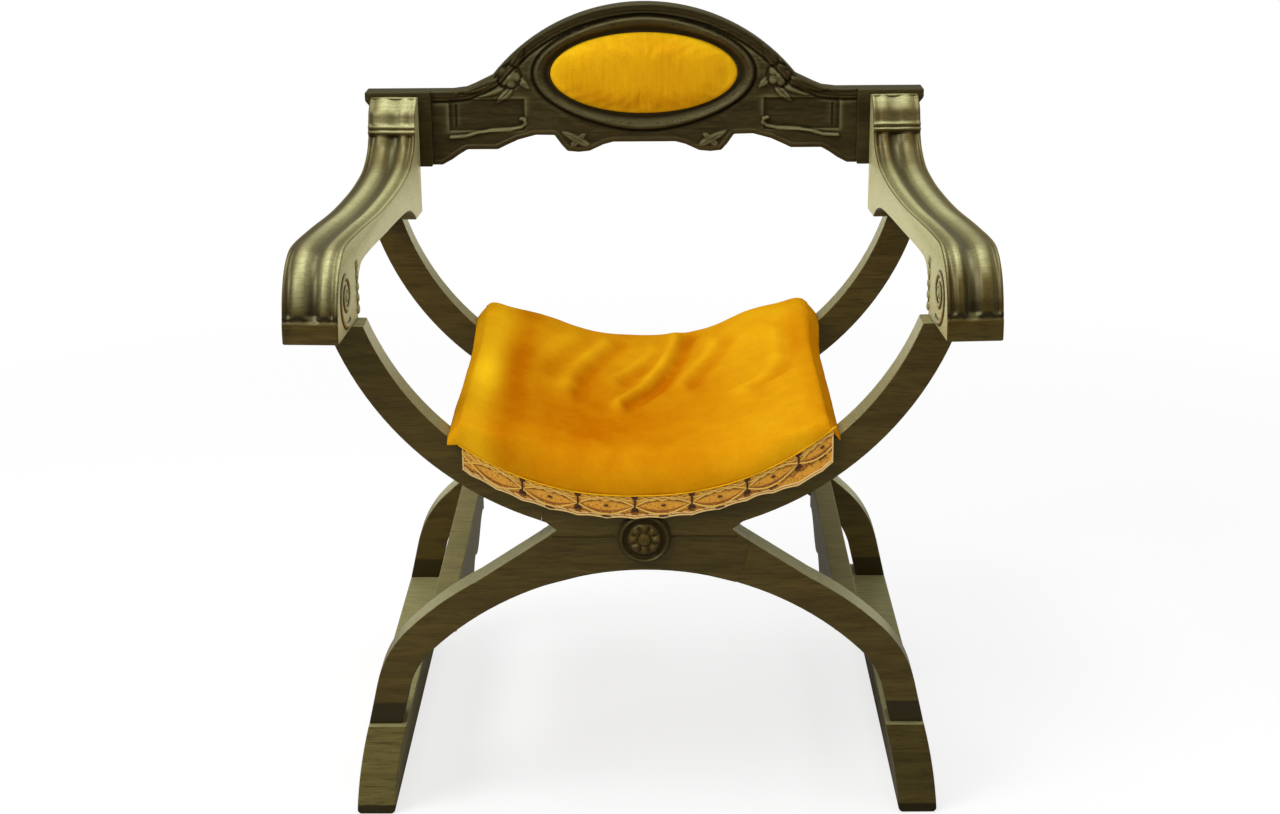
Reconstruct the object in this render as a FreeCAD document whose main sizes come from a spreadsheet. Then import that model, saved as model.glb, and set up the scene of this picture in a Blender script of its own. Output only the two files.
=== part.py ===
import FreeCAD, Part
import Sketcher
import math
import os

# Folding armchair with two X frames of S-shaped staves, a lift-off carved back and a cloth sling seat.
# The chair faces -Y, +X is to the right seen from the front, and the origin is on the floor at its middle.

SIZES = {
    "hub_rise": 215,
    "stave_width": 35,
    "stave_thick": 34,
    "frame_spacing": 404,
    "bowl_radius": 321.5,
    "bowl_lift": 18.5,
    "arch_radius": 345.5,
    "knee_radius": 110,
    "knee_angle": 46,
    "leg_lean": 13,
    "haunch_reach": 174,
    "notch_reach": 103,
    "notch_depth": 11,
    "lap_margin": 6,
    "lap_gap": 0.3,
    "rod_radius": 6,
    "rod_clearance": 0.03,
    "nut_across": 19,
    "nut_thick": 6,
    "rosette_radius": 28,
    "rosette_thick": 11,
    "rosette_boss": 16,
    "runner_height": 107,
    "runner_width": 41.5,
    "runner_overhang": 6,
    "foot_flare": 17.5,
    "foot_chamfer": 3,
    "stretcher_rise": 134,
    "stretcher_thick": 24,
    "stretcher_inset": 8,
    "stretcher_end": 42,
    "stretcher_drop": 70,
    "rail_width": 30,
    "rail_thick": 20,
    "rail_angle": 38,
    "rail_end_gap": 0.5,
    "arm_width": 56,
    "arm_beyond": 51.5,
    "arm_splay": 3.3,
    "arm_overhang": 66,
    "arm_tail": 2.5,
    "arm_block_high": 41,
    "arm_block_rise": 40,
    "arm_block_depth": 30,
    "arm_block_lean": 22,
    "arm_bead": 3,
    "arm_roll_drop": 77,
    "arm_thick": 25,
    "arm_foot_rise": 231,
    "arm_rear_lift": 19,
    "arm_rear_post": 42,
    "crest_gap": 0.3,
    "crest_thick": 32,
    "crest_recess": 12,
    "crest_beyond": 8,
    "crest_ear": 20,
    "crest_block": 78,
    "crest_lift": 54,
    "crest_end_high": 90,
    "crest_hip": 16.4,
    "crest_high": 192,
    "oval_down": 82.6,
    "oval_half_width": 112.5,
    "oval_half_height": 48.5,
    "oval_band": 20,
    "oval_band_rise": 6,
    "pad_gap": 0.3,
    "pad_crown": 11,
    "pad_board_thick": 5,
    "pocket_floor": 6,
    "flower_beside": 14.5,
    "flower_down": 86,
    "flower_radius": 14,
    "flower_thick": 5,
    "stud_head_radius": 7,
    "stud_head_thick": 4,
    "stud_shank_radius": 3.5,
    "stud_shank_length": 7,
    "stud_sunk": 22,
    "stud_low_rise": 26,
    "stud_high_rise": 64,
    "slot_gap": 0.4,
    "cloth_thick": 4,
    "cloth_gap": 0.4,
    "cloth_overhang": 11,
    "cloth_rear_overhang": 5,
    "seat_sag": 37,
    "skirt_drop": 34,
    "lace_drop": 30,
    "lace_thick": 2.4,
    "lace_scallops": 12,
    "dowel_radius": 5,
    "dowel_half": 22,
    "screw_radius": 2.5,
    "screw_head_radius": 5,
    "screw_head": 3,
    "screw_bite": 12,
}

# Places and sizes that follow from those above; heights are from the floor
FOLLOWING = {
    "hub_height": "runner_height + hub_rise",
    "bowl_rise": "bowl_radius + bowl_lift",
    "bowl_centre": "hub_height + bowl_rise",
    "arch_centre": "hub_height - arch_radius * bowl_rise / bowl_radius",
    "lap_radius": "notch_reach + lap_margin",
    "knee_x": "(arch_radius - knee_radius) * cos(knee_angle)",
    "knee_z": "arch_centre + (arch_radius - knee_radius) * sin(knee_angle)",
    "leg_x": "knee_x + knee_radius * cos(leg_lean)",
    "leg_z": "knee_z + knee_radius * sin(leg_lean)",
    "foot_x": "leg_x + (leg_z - runner_height) * tan(leg_lean)",
    "foot_reach": "foot_x + stave_width / 2 / cos(leg_lean) + foot_flare",
    "stretcher_top": "runner_height + stretcher_rise",
    "stretcher_z": "stretcher_top - stretcher_end / 2",
    "stretcher_x": "sqrt(arch_radius ^ 2 - (stretcher_z - arch_centre) ^ 2) - stretcher_inset",
    "rail_chord": "sqrt((bowl_radius - stave_width / 2) ^ 2 - (rail_width / 2) ^ 2)",
    "arm_front_foot": "hub_height + arm_foot_rise",
    "arm_rear_foot": "arm_front_foot + arm_rear_lift",
    "front_top_x": "sqrt(bowl_radius ^ 2 - (bowl_centre - arm_front_foot) ^ 2)",
    "rear_top_x": "sqrt(bowl_radius ^ 2 - (bowl_centre - arm_rear_foot) ^ 2)",
    "arm_level": "arm_front_foot + arm_roll_drop",
    "arm_block_foot": "arm_level + arm_block_rise",
    "arm_block_top": "arm_block_foot + arm_block_high",
    "arm_front_reach": "front_top_x + arm_beyond",
    "arm_rear": "frame_spacing + stave_thick + arm_tail",
    "arm_rear_reach": "arm_front_reach - (arm_rear + arm_overhang) * sin(arm_splay)",
    "crest_reach": "arm_rear_reach + crest_beyond",
    "crest_block_reach": "crest_reach - crest_block",
    "crest_foot": "arm_rear_foot + crest_lift",
    "crest_shoulder": "crest_foot + crest_end_high",
    "crest_top": "crest_foot + crest_high",
    "oval_height": "crest_top - oval_down",
    "flower_reach": "oval_half_width + oval_band + flower_beside + flower_radius",
    "flower_height": "crest_top - flower_down",
    "pocket_depth": "crest_thick - crest_recess - pocket_floor",
    "stud_x": "arm_width / 2 * cos(arm_splay) - arm_rear_reach",
    "stud_low": "crest_foot + stud_low_rise",
    "stud_high": "crest_foot + stud_high_rise",
    "face_y": "(arm_overhang - arm_rear - crest_gap - crest_thick) / 2",
    "rear_y": "face_y + frame_spacing",
    "rear_face_y": "rear_y + stave_thick",
    "arm_back_y": "face_y + arm_rear",
    "ground_y": "arm_back_y + crest_gap + crest_recess",
    "pad_back_y": "ground_y + pocket_depth - pad_board_thick",
}

doc = FreeCAD.newDocument("chair")
sheet = doc.addObject("Spreadsheet::Sheet", "sizes")
formulas = {alias: "=" + formula for alias, formula in FOLLOWING.items()}
for row, (alias, value) in enumerate({**SIZES, **formulas}.items(), start=1):
    sheet.set("A%d" % row, alias)
    sheet.set("B%d" % row, str(value))
    sheet.setAlias("B%d" % row, alias)
doc.recompute()

V = FreeCAD.Vector
UP = V(0, 0, 1)
BACK = V(0, 1, 0)
nodes = {}


def size(alias):
    return float(sheet.get(alias))


slope = math.acos(size("bowl_radius") / size("bowl_rise"))
bowl_centre = size("bowl_centre")
arch_centre = size("arch_centre")
half_width = size("stave_width") / 2
face_y = size("face_y")


def keep(label, piece):
    """Names a finished piece and marks it as one of the chair's nodes."""
    piece.Label = label
    nodes[label] = piece


def keep_shape(label, shape):
    """A solid made directly, for the curved pieces."""
    piece = doc.addObject("Part::Feature", label)
    piece.Shape = shape
    keep(label, piece)


def primitive(kind, name, sizes, place, turn_axis=None, turn=None):
    """A primitive whose sizes, place and turn are all formulas on the sheet."""
    piece = doc.addObject("Part::" + kind, name)
    if turn_axis:
        piece.Placement = FreeCAD.Placement(V(0, 0, 0), FreeCAD.Rotation(turn_axis, 1))
        piece.setExpression("Placement.Rotation.Angle", turn)
    for key, formula in sizes.items():
        piece.setExpression(key, formula)
    for axis, formula in zip("xyz", place):
        piece.setExpression("Placement.Base." + axis, formula)
    return piece


def joined(kind, name, **links):
    """A boolean, extrusion or group of other objects."""
    piece = doc.addObject("Part::" + kind, name)
    for key, link in links.items():
        setattr(piece, key, link)
    return piece


def along_y(name, radius, length, place):
    """A round bar that runs backwards from its place."""
    return primitive("Cylinder", name, {"Radius": radius, "Height": length}, place, V(-1, 0, 0), "90")


def built(name):
    """The finished shape of a node or helper object, for boring its neighbours."""
    doc.recompute()
    return doc.getObject(name).Shape


def polar(centre_z, radius, angle):
    """A point in the front plane at an angle from +X about a centre on the Z axis."""
    return V(radius * math.cos(angle), 0, centre_z + radius * math.sin(angle))


def arc(centre_x, centre_z, radius, first, last):
    """A round edge in the XZ plane from one angle to another."""
    points = [V(centre_x + radius * math.cos(a), 0, centre_z + radius * math.sin(a))
              for a in (first, (first + last) / 2, last)]
    return Part.Arc(*points).toShape()


def slab(edges, y, depth):
    """A closed outline in the XZ plane at Y zero, thickened backwards from y."""
    face = Part.Face(Part.Wire(Part.__sortEdges__(edges)))
    face.translate(V(0, y, 0))
    return face.extrude(V(0, depth, 0))


def polygon(points, y, depth):
    wire = Part.makePolygon(points + [points[0]])
    face = Part.Face(wire)
    face.translate(V(0, y, 0))
    return face.extrude(V(0, depth, 0))


def mirrored(shape):
    return shape.mirror(V(0, 0, 0), V(1, 0, 0))


def rod_along_y(radius, x, z, y, length):
    return Part.makeCylinder(radius, length, V(x, y, z), BACK)


# The S-shaped staves: bowl arc, straight lap, arch arc, knee and straight leg, in the XZ plane


def leg_edge(offset):
    """Knee arc, its lower end and the foot of the edge that lies offset outside the middle line."""
    knee = math.radians(size("knee_angle"))
    lean = math.radians(size("leg_lean"))
    radius = size("knee_radius") + offset
    knee_arc = arc(size("knee_x"), size("knee_z"), radius, knee, lean)
    top = V(size("knee_x") + radius * math.cos(lean), 0, size("knee_z") + radius * math.sin(lean))
    foot = V(top.x + (top.z - size("runner_height")) * math.tan(lean), 0, size("runner_height"))
    return knee_arc, top, foot


def stave_edges(top_height):
    """Closed outline of the stave that rises to the left arm and stands on the right runner."""
    knee = math.radians(size("knee_angle"))
    edges = []
    ends = []
    for offset in (half_width, -half_width):
        bowl = size("bowl_radius") + offset
        arch = size("arch_radius") - offset
        top_angle = -math.pi + math.asin((bowl_centre - top_height) / bowl)
        low_angle = -math.pi / 2 - slope
        edges.append(arc(0, bowl_centre, bowl, top_angle, low_angle))
        edges.append(Part.makeLine(polar(bowl_centre, bowl, low_angle),
                                   polar(arch_centre, arch, math.pi / 2 - slope)))
        edges.append(arc(0, arch_centre, arch, math.pi / 2 - slope, knee))
        knee_arc, top, foot = leg_edge(-offset)
        edges.append(knee_arc)
        edges.append(Part.makeLine(top, foot))
        ends.append((polar(bowl_centre, bowl, top_angle), foot))
    edges.append(Part.makeLine(ends[0][0], ends[1][0]))
    edges.append(Part.makeLine(ends[0][1], ends[1][1]))
    return edges


def haunch(y, depth):
    """The swelling on the leg's upper edge that runs up to the hub."""
    outer = size("arch_radius") + half_width
    reach = size("haunch_reach")
    low = math.sqrt(outer ** 2 - reach ** 2) + arch_centre
    points = [V(0, 0, size("hub_height")),
              V(size("notch_reach"), 0, size("hub_height")),
              V(reach, 0, low),
              V(size("notch_reach"), 0, low)]
    return polygon(points, y, depth)


NOTCH_LIFT_SHARE = 0.24


def hub_cheek(y, depth):
    """The flush round cheek of one half of the lap, as seen from the front."""
    union = slab(stave_edges(size("arm_front_foot")), y, depth).fuse(haunch(y, depth))
    union = union.fuse(mirrored(union))
    arch_top = size("arch_radius") - half_width
    bowl_low = size("bowl_radius") - half_width
    reach = size("notch_reach")
    web_low = arch_centre + math.sqrt(arch_top ** 2 - reach ** 2)
    web_high = bowl_centre - math.sqrt(bowl_low ** 2 - reach ** 2)
    web = Part.makeBox(2 * reach, depth, web_high - web_low, V(-reach, y, web_low))
    below = rod_along_y(arch_top, 0, arch_centre, y, depth)
    above = rod_along_y(bowl_low, 0, bowl_centre, y, depth)
    web = web.cut(below).cut(above)
    notch_z = size("hub_height") + size("stave_width") * NOTCH_LIFT_SHARE
    bowl_edge = bowl_centre - math.sqrt((size("bowl_radius") + half_width) ** 2 - reach ** 2)
    notch = polygon([V(reach - size("notch_depth"), 0, notch_z), V(reach, 0, bowl_edge),
                     V(reach + half_width, 0, notch_z), V(reach, 0, size("hub_height"))], y, depth)
    web = web.cut(notch).cut(mirrored(notch))
    disc = rod_along_y(size("lap_radius"), 0, size("hub_height"), y, depth)
    return union.fuse(web).common(disc).removeSplitter()


def stave(end, y, top_height, rises_left):
    """One S stave, halved into its partner at the hub. The one that rises right has the front cheek."""
    thick = size("stave_thick")
    gap = size("lap_gap")
    body = slab(stave_edges(top_height), y, thick).fuse(haunch(y, thick))
    cheek_depth = (thick - gap) / 2
    pocket_depth = (thick + gap) / 2
    if not rises_left:
        body = mirrored(body)
        cheek_y = y
        pocket_y = y + thick - pocket_depth
    else:
        cheek_y = y + thick - cheek_depth
        pocket_y = y
    body = body.cut(rod_along_y(size("lap_radius") + gap, 0, size("hub_height"), pocket_y, pocket_depth))
    body = body.fuse(hub_cheek(cheek_y, cheek_depth))
    body = body.cut(rod_along_y(size("rod_radius") + size("rod_clearance"), 0, size("hub_height"), y, thick))
    upper, lower = ("left", "right") if rises_left else ("right", "left")
    for held in (upper + "_arm_dowels", upper + "_rail_screws", lower + "_runner_dowels",
                 lower + "_stretcher_dowels"):
        body = body.cut(built(held))
    keep_shape("%s_stave_rising_%s" % (end, upper), body.removeSplitter())


# Hidden dowels, screws and studs, which the pieces that they join are bored for


def dowels(name, sign):
    """The dowels of one side: up into the arm, down into the runner and along into the stretcher."""
    upright = {"Radius": "sizes.dowel_radius", "Height": "2 * sizes.dowel_half"}
    stretcher_x = sign + "sizes.stretcher_x"
    pairs = {"arm": [], "runner": [], "stretcher": []}
    for end, plane, inner_face in (("front", "sizes.face_y", "sizes.face_y + sizes.stave_thick"),
                                   ("rear", "sizes.rear_y", "sizes.rear_y")):
        stem = "%s_%s" % (name, end)
        middle = plane + " + sizes.stave_thick / 2"
        pairs["arm"].append(primitive(
            "Cylinder", stem + "_arm_dowel", upright,
            ("%ssizes.%s_top_x" % (sign, end), middle, "sizes.arm_%s_foot - sizes.dowel_half" % end)))
        pairs["runner"].append(primitive(
            "Cylinder", stem + "_runner_dowel", upright,
            (sign + "sizes.foot_x", middle, "sizes.runner_height - sizes.dowel_half")))
        pairs["stretcher"].append(along_y(
            stem + "_stretcher_dowel", "sizes.dowel_radius", "2 * sizes.dowel_half",
            (stretcher_x, inner_face + " - sizes.dowel_half", "sizes.stretcher_z")))
    for what, pair in pairs.items():
        label = "%s_%s_dowels" % (name, what)
        keep(label, joined("Compound", label, Links=pair))


def rail_screws(name, sign, other):
    """Two countersunk screws square to the rail, through it into the staves' inner edges."""
    x = "%s(sizes.rail_chord - sizes.rail_thick) * sin(sizes.rail_angle)" % sign
    z = "sizes.bowl_centre - (sizes.rail_chord - sizes.rail_thick) * cos(sizes.rail_angle)"
    turn = "180 %s sizes.rail_angle" % other
    screws = []
    for end, plane in (("front", "sizes.face_y"), ("rear", "sizes.rear_y")):
        place = (x, plane + " + sizes.stave_thick / 2", z)
        stem = "%s_%s_screw" % (name, end)
        shank = primitive("Cylinder", stem + "_shank",
                          {"Radius": "sizes.screw_radius", "Height": "sizes.rail_thick + sizes.screw_bite"},
                          place, BACK, turn)
        head = primitive("Cone", stem + "_head",
                         {"Radius1": "sizes.screw_head_radius", "Radius2": "sizes.screw_radius",
                          "Height": "sizes.screw_head"}, place, BACK, turn)
        screws.append(joined("Fuse", stem, Base=shank, Tool=head))
    label = name + "_rail_screws"
    keep(label, joined("Compound", label, Links=screws))


def crest_studs():
    """Two headed studs in the left arm's back, which the slot of the lift-off back drops over."""
    studs = []
    for level in ("low", "high"):
        height = "sizes.stud_" + level
        shank = along_y("stud_shank_" + level, "sizes.stud_shank_radius",
                        "sizes.stud_sunk + sizes.stud_shank_length",
                        ("sizes.stud_x", "sizes.arm_back_y - sizes.stud_sunk", height))
        head = along_y("stud_head_" + level, "sizes.stud_head_radius", "sizes.stud_head_thick",
                       ("sizes.stud_x", "sizes.arm_back_y + sizes.stud_shank_length", height))
        studs.append(joined("Fuse", "stud_" + level, Base=shank, Tool=head))
    keep("crest_studs", joined("Compound", "crest_studs", Links=studs))


# Rod through both hubs, its nuts and the turned rosettes that cover them


def pivot_rod():
    keep("pivot_rod", along_y(
        "pivot_rod", "sizes.rod_radius",
        "sizes.frame_spacing + sizes.stave_thick + 2 * sizes.nut_thick + 2 * sizes.lap_gap",
        ("0", "sizes.face_y - sizes.nut_thick - sizes.lap_gap", "sizes.hub_height")))


def nut(label, y):
    """A square nut on one end of the rod."""
    block = primitive("Box", label + "_block",
                      {"Length": "sizes.nut_across", "Width": "sizes.nut_thick",
                       "Height": "sizes.nut_across"},
                      ("-sizes.nut_across / 2", y, "sizes.hub_height - sizes.nut_across / 2"))
    bore = along_y(label + "_bore", "sizes.rod_radius + sizes.rod_clearance", "sizes.nut_thick",
                   ("0", y, "sizes.hub_height"))
    keep(label, joined("Cut", label, Base=block, Tool=bore))


def bound_sketch(body, name, corners):
    """A closed outline on the body's XY plane whose every corner is a pair of formulas."""
    sketch = body.newObject("Sketcher::SketchObject", name)
    plane = next(f for f in body.Origin.OriginFeatures if f.Role == "XY_Plane")
    sketch.AttachmentSupport = (plane, [""])
    sketch.MapMode = "FlatFace"
    points = [V(sheet.evalExpression(a), sheet.evalExpression(b), 0) for a, b in corners]
    for first, second in zip(points, points[1:] + points[:1]):
        sketch.addGeometry(Part.LineSegment(first, second))
    for line in range(len(points)):
        sketch.addConstraint(Sketcher.Constraint("Coincident", line, 2, (line + 1) % len(points), 1))
    for line, (point, corner) in enumerate(zip(points, corners)):
        for kind, value, formula in (("DistanceX", point.x, corner[0]), ("DistanceY", point.y, corner[1])):
            index = sketch.addConstraint(Sketcher.Constraint(kind, -1, 1, line, 1, value))
            sketch.setExpression("Constraints[%d]" % index, formula)
    return sketch


# Turned profile of a rosette, out from the rod: share of the radius, or of the boss, and of the thickness
ROSETTE_RIM_SHARES = [(1.0, 0.36), (0.91, 0.52), (0.82, 0.4)]
ROSETTE_BOSS_SHARES = [(1.0, 0.36), (1.0, 0.7), (0.6, 0.95), (0.0, 1.0)]


def rosette(label, y, sign):
    """A turned boss revolved about the rod: rim, hollow and raised middle, hollow behind for the nut."""
    body = doc.addObject("PartDesign::Body", label)
    body.setExpression("Placement.Base.y", y)
    body.setExpression("Placement.Base.z", "sizes.hub_height")
    room = "(sizes.nut_across / sqrt(2) + sizes.lap_gap)"
    floor = "%s (sizes.nut_thick + sizes.lap_gap)" % sign
    corners = [("0", floor), (room, floor), (room, "0"), ("sizes.rosette_radius", "0")]
    corners += [("%g * sizes.rosette_radius" % a, "%s %g * sizes.rosette_thick" % (sign, b))
                for a, b in ROSETTE_RIM_SHARES]
    corners += [("%g * sizes.rosette_boss" % a, "%s %g * sizes.rosette_thick" % (sign, b))
                for a, b in ROSETTE_BOSS_SHARES]
    sketch = bound_sketch(body, label + "_profile", corners)
    turned = body.newObject("PartDesign::Revolution", label + "_turned")
    turned.Profile = sketch
    turned.ReferenceAxis = (sketch, ["V_Axis"])
    turned.Angle = 360
    keep(label, body)


# Sled runners under the feet


FLARE_BULGE_SHARE = 0.15


def runner(name, side):
    """A plank on edge from the front foot to the rear foot, flared outwards towards the floor."""
    high = size("runner_height")
    reach = size("foot_reach")
    flare = size("foot_flare")
    width = size("runner_width")
    cut_corner = size("foot_chamfer")
    bulge = flare * FLARE_BULGE_SHARE
    edges = [
        Part.makeLine(V(reach - width + cut_corner, 0, 0), V(reach - cut_corner, 0, 0)),
        Part.makeLine(V(reach - cut_corner, 0, 0), V(reach, 0, cut_corner)),
        Part.Arc(V(reach, 0, cut_corner), V(reach - flare / 2 + bulge, 0, high / 2),
                 V(reach - flare, 0, high)).toShape(),
        Part.makeLine(V(reach - flare, 0, high), V(reach - flare - width, 0, high)),
        Part.Arc(V(reach - flare - width, 0, high), V(reach - width - flare / 2 + bulge, 0, high / 2),
                 V(reach - width, 0, cut_corner)).toShape(),
        Part.makeLine(V(reach - width, 0, cut_corner), V(reach - width + cut_corner, 0, 0)),
    ]
    length = size("frame_spacing") + size("stave_thick") + 2 * size("runner_overhang")
    solid = slab(edges, face_y - size("runner_overhang"), length)
    if side < 0:
        solid = mirrored(solid)
    keep_shape(name + "_runner", solid.cut(built(name + "_runner_dowels")))


# Shaped side stretchers between the legs

STRETCHER_SHARES = [(0.0, 0.0), (0.14, 0.05), (0.22, 0.45), (0.30, 0.55), (0.36, 0.35), (0.42, 0.75),
                    (0.5, 1.0)]


def stretcher(name, side):
    """A board with a scalloped lower edge, tenoned between the front and rear leg."""
    start = face_y + size("stave_thick")
    length = size("frame_spacing") - size("stave_thick")
    top = size("stretcher_top")
    deepest = size("stretcher_drop") - size("stretcher_end")
    x = side * size("stretcher_x") - size("stretcher_thick") / 2

    def low_point(along_share, drop_share):
        return V(x, start + length * along_share, top - size("stretcher_end") - deepest * drop_share)

    half = [low_point(a, b) for a, b in STRETCHER_SHARES]
    other = [low_point(1 - a, b) for a, b in reversed(STRETCHER_SHARES[:-1])]
    points = half + other
    curve = Part.BSplineCurve()
    curve.interpolate(points)
    first = V(x, start, top)
    last = V(x, start + length, top)
    wire = Part.Wire([Part.makeLine(first, points[0]), curve.toShape(),
                      Part.makeLine(points[-1], last), Part.makeLine(last, first)])
    solid = Part.Face(wire).extrude(V(size("stretcher_thick"), 0, 0))
    keep_shape(name + "_stretcher", solid.cut(built(name + "_stretcher_dowels")))


# Seat rails screwed across the staves


def rail(name, sign, other):
    """A batten laid on the slope of the staves' inner edges."""
    x = "%s(sizes.rail_chord * sin(sizes.rail_angle) %s sizes.rail_width / 2 * cos(sizes.rail_angle))" % (
        sign, other)
    z = ("sizes.bowl_centre - sizes.rail_chord * cos(sizes.rail_angle)"
         " %s sizes.rail_width / 2 * sin(sizes.rail_angle)" % other)
    batten = primitive("Box", name + "_batten",
                       {"Length": "sizes.rail_width", "Height": "sizes.rail_thick",
                        "Width": "sizes.frame_spacing + sizes.stave_thick - 2 * sizes.rail_end_gap"},
                       (x, "sizes.face_y + sizes.rail_end_gap", z), BACK, "0 %s sizes.rail_angle" % other)
    label = name + "_seat_rail"
    keep(label, joined("Cut", label, Base=batten, Tool=nodes[name + "_rail_screws"]))


def rail_frame():
    """Middle of the left rail's section, its direction up the slope and its direction off the stave."""
    angle = math.radians(size("rail_angle"))
    off = V(math.sin(angle), 0, math.cos(angle))
    along = V(-math.cos(angle), 0, math.sin(angle))
    middle = V(0, 0, bowl_centre) - off * (size("rail_chord") - size("rail_thick") / 2)
    return middle, along, off


# Arms: side outline in the YZ plane, thickened across and turned out by the splay

ARM_RISE_SHARES = [(0.0, 1.0), (0.03, 0.62), (0.10, 0.26), (0.20, 0.10), (0.33, 0.02), (0.55, 0.03),
                   (0.80, 0.18), (1.0, 0.25)]
ARM_ROLL_SHARES = [(0.0, 0.13), (0.42, 0.05), (0.72, -0.15), (0.90, -0.43), (0.98, -0.73), (1.0, -1.0)]
BLOCK_TURN_SHARES = (0.3, 0.62)
ARM_UNDER_SHARES = [(0.0, 0.0), (0.02, 0.55), (0.05, 0.86), (0.13, 1.0), (0.45, 0.93), (0.80, 0.82),
                    (0.92, 0.66), (1.0, 0.38)]


def spline(points):
    curve = Part.BSplineCurve()
    curve.interpolate(points)
    return curve.toShape()


def arm_outline():
    """Closed side outline of an arm at X zero: rear block, bead, hollow, level part, roll and underside."""
    back = size("arm_back_y")
    block_front = back - size("arm_block_depth")
    block_foot = size("arm_block_foot")
    level = size("arm_level")
    foot = size("arm_front_foot")
    rise_length = block_front - face_y
    hollow = [V(0, block_front - rise_length * a, level + size("arm_block_rise") * b)
              for a, b in ARM_RISE_SHARES]
    roll = [V(0, face_y - size("arm_overhang") * a, level + size("arm_roll_drop") * b)
            for a, b in ARM_ROLL_SHARES]
    seat_back = face_y + size("stave_thick")
    post_front = back - size("arm_rear_post")
    under_high = level - size("arm_thick") - foot
    under = [V(0, seat_back + (post_front - seat_back) * a, foot + under_high * b)
             for a, b in ARM_UNDER_SHARES[:-1]]
    under.append(V(0, post_front, size("arm_rear_foot")))
    bead = size("arm_bead")
    lean = size("arm_block_lean")
    turn_in, turn_up = BLOCK_TURN_SHARES
    corner = [V(0, back, size("arm_rear_foot")), V(0, back, size("arm_block_top")),
              V(0, block_front + lean, size("arm_block_top")),
              V(0, block_front + lean * turn_in, block_foot + size("arm_block_high") * turn_up),
              V(0, block_front, block_foot + bead),
              V(0, block_front - bead, block_foot + bead), V(0, block_front - bead, block_foot),
              hollow[0]]
    edges = [Part.makeLine(a, b) for a, b in zip(corner, corner[1:])]
    edges.append(spline(hollow + roll[1:]))
    edges.append(Part.makeLine(roll[-1], under[0]))
    edges.append(spline(under))
    edges.append(Part.makeLine(under[-1], corner[0]))
    return Part.Wire(Part.__sortEdges__(edges))


def arm(name, side):
    width = size("arm_width")
    solid = Part.Face(arm_outline()).extrude(V(width, 0, 0))
    front = V(0, face_y - size("arm_overhang"), 0)
    solid.translate(front * -1)
    solid.rotate(V(0, 0, 0), UP, -size("arm_splay"))
    solid.translate(front + V(-size("arm_front_reach"), 0, 0))
    if side > 0:
        solid = mirrored(solid)
    solid = solid.cut(built(name + "_arm_dowels"))
    if side < 0:
        solid = solid.cut(built("crest_studs"))
    keep_shape(name + "_arm", solid)


# The carved back: outline in the XZ plane

CREST_FOOT_SHARES = [(0.0, 0.295), (0.112, 0.295), (0.148, 0.26), (0.198, 0.175), (0.238, 0.16), (0.278, 0.175),
                     (0.299, 0.26), (0.324, 0.39), (0.392, 0.395), (0.457, 0.33), (0.493, 0.27),
                     (0.53, 0.205), (0.64, 0.205), (0.67, 0.14), (0.697, 0.07), (0.733, 0.0)]
CREST_SHOULDER_SHARES = [(0.61, 0.06), (0.64, 0.02), (0.69, 0.0)]


CREST_JOIN_SHARE = 0.545


def crest_outline():
    """Closed outline of the back: scalloped foot, ends with a small ear on top, shoulders and round top."""
    reach = size("crest_reach")
    end = reach - size("crest_beyond")
    ear = size("crest_ear")
    shoulder = size("crest_shoulder")
    foot = size("crest_foot")
    top = size("crest_top")
    low = [V(reach * a, 0, foot + (shoulder - foot) * b) for a, b in CREST_FOOT_SHARES]
    low.append(V(end, 0, foot))
    low = [V(-p.x, 0, p.z) for p in reversed(low[1:])] + low
    join = V(reach * CREST_JOIN_SHARE, 0, shoulder + size("crest_hip"))
    hip = [V(reach * a, 0, shoulder + (top - shoulder) * b) for a, b in CREST_SHOULDER_SHARES]
    right = [V(end, 0, foot), V(end, 0, shoulder - ear), V(reach, 0, shoulder - ear / 2), V(reach, 0, shoulder)]
    right += list(reversed(hip)) + [join]
    left = [V(-p.x, 0, p.z) for p in right]
    edges = [Part.makeLine(a, b) for a, b in zip(low, low[1:])]
    edges += [Part.makeLine(a, b) for a, b in zip(right, right[1:])]
    edges += [Part.makeLine(a, b) for a, b in zip(left, left[1:])]
    edges.append(Part.Arc(right[-1], V(0, 0, top), left[-1]).toShape())
    return edges


def oval(name, half_x, half_z, y, depth):
    """An upright oval slab on the middle of the back, from y backwards."""
    line = primitive("Ellipse", name + "_line", {"MajorRadius": half_x, "MinorRadius": half_z},
                     ("0", y, "sizes.oval_height"), V(1, 0, 0), "90")
    slab_of_line = joined("Extrusion", name, Base=line, DirMode="Custom", Dir=BACK, Solid=True)
    slab_of_line.setExpression("LengthFwd", depth)
    return slab_of_line


POCKET_X = "sizes.oval_half_width + sizes.pad_gap"
POCKET_Z = "sizes.oval_half_height + sizes.pad_gap"


def pad_board():
    keep("pad_board", oval("pad_board", "sizes.oval_half_width", "sizes.oval_half_height", "sizes.pad_back_y",
                           "sizes.pad_board_thick"))


BAND_HIGH_SHARE = 0.8


def crest_moulding():
    """The raised oval band round the pad, a little narrower above and below it."""
    front = "sizes.ground_y - sizes.oval_band_rise"
    band_z = "sizes.oval_half_height + %g * sizes.oval_band" % BAND_HIGH_SHARE
    outer = oval("moulding_outer", "sizes.oval_half_width + sizes.oval_band", band_z, front,
                 "sizes.oval_band_rise")
    inner = oval("moulding_inner", POCKET_X, POCKET_Z, front, "sizes.oval_band_rise")
    keep("crest_moulding", joined("Cut", "crest_moulding", Base=outer, Tool=inner))


FLOWER_TOP_SHARE = 0.6


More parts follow.
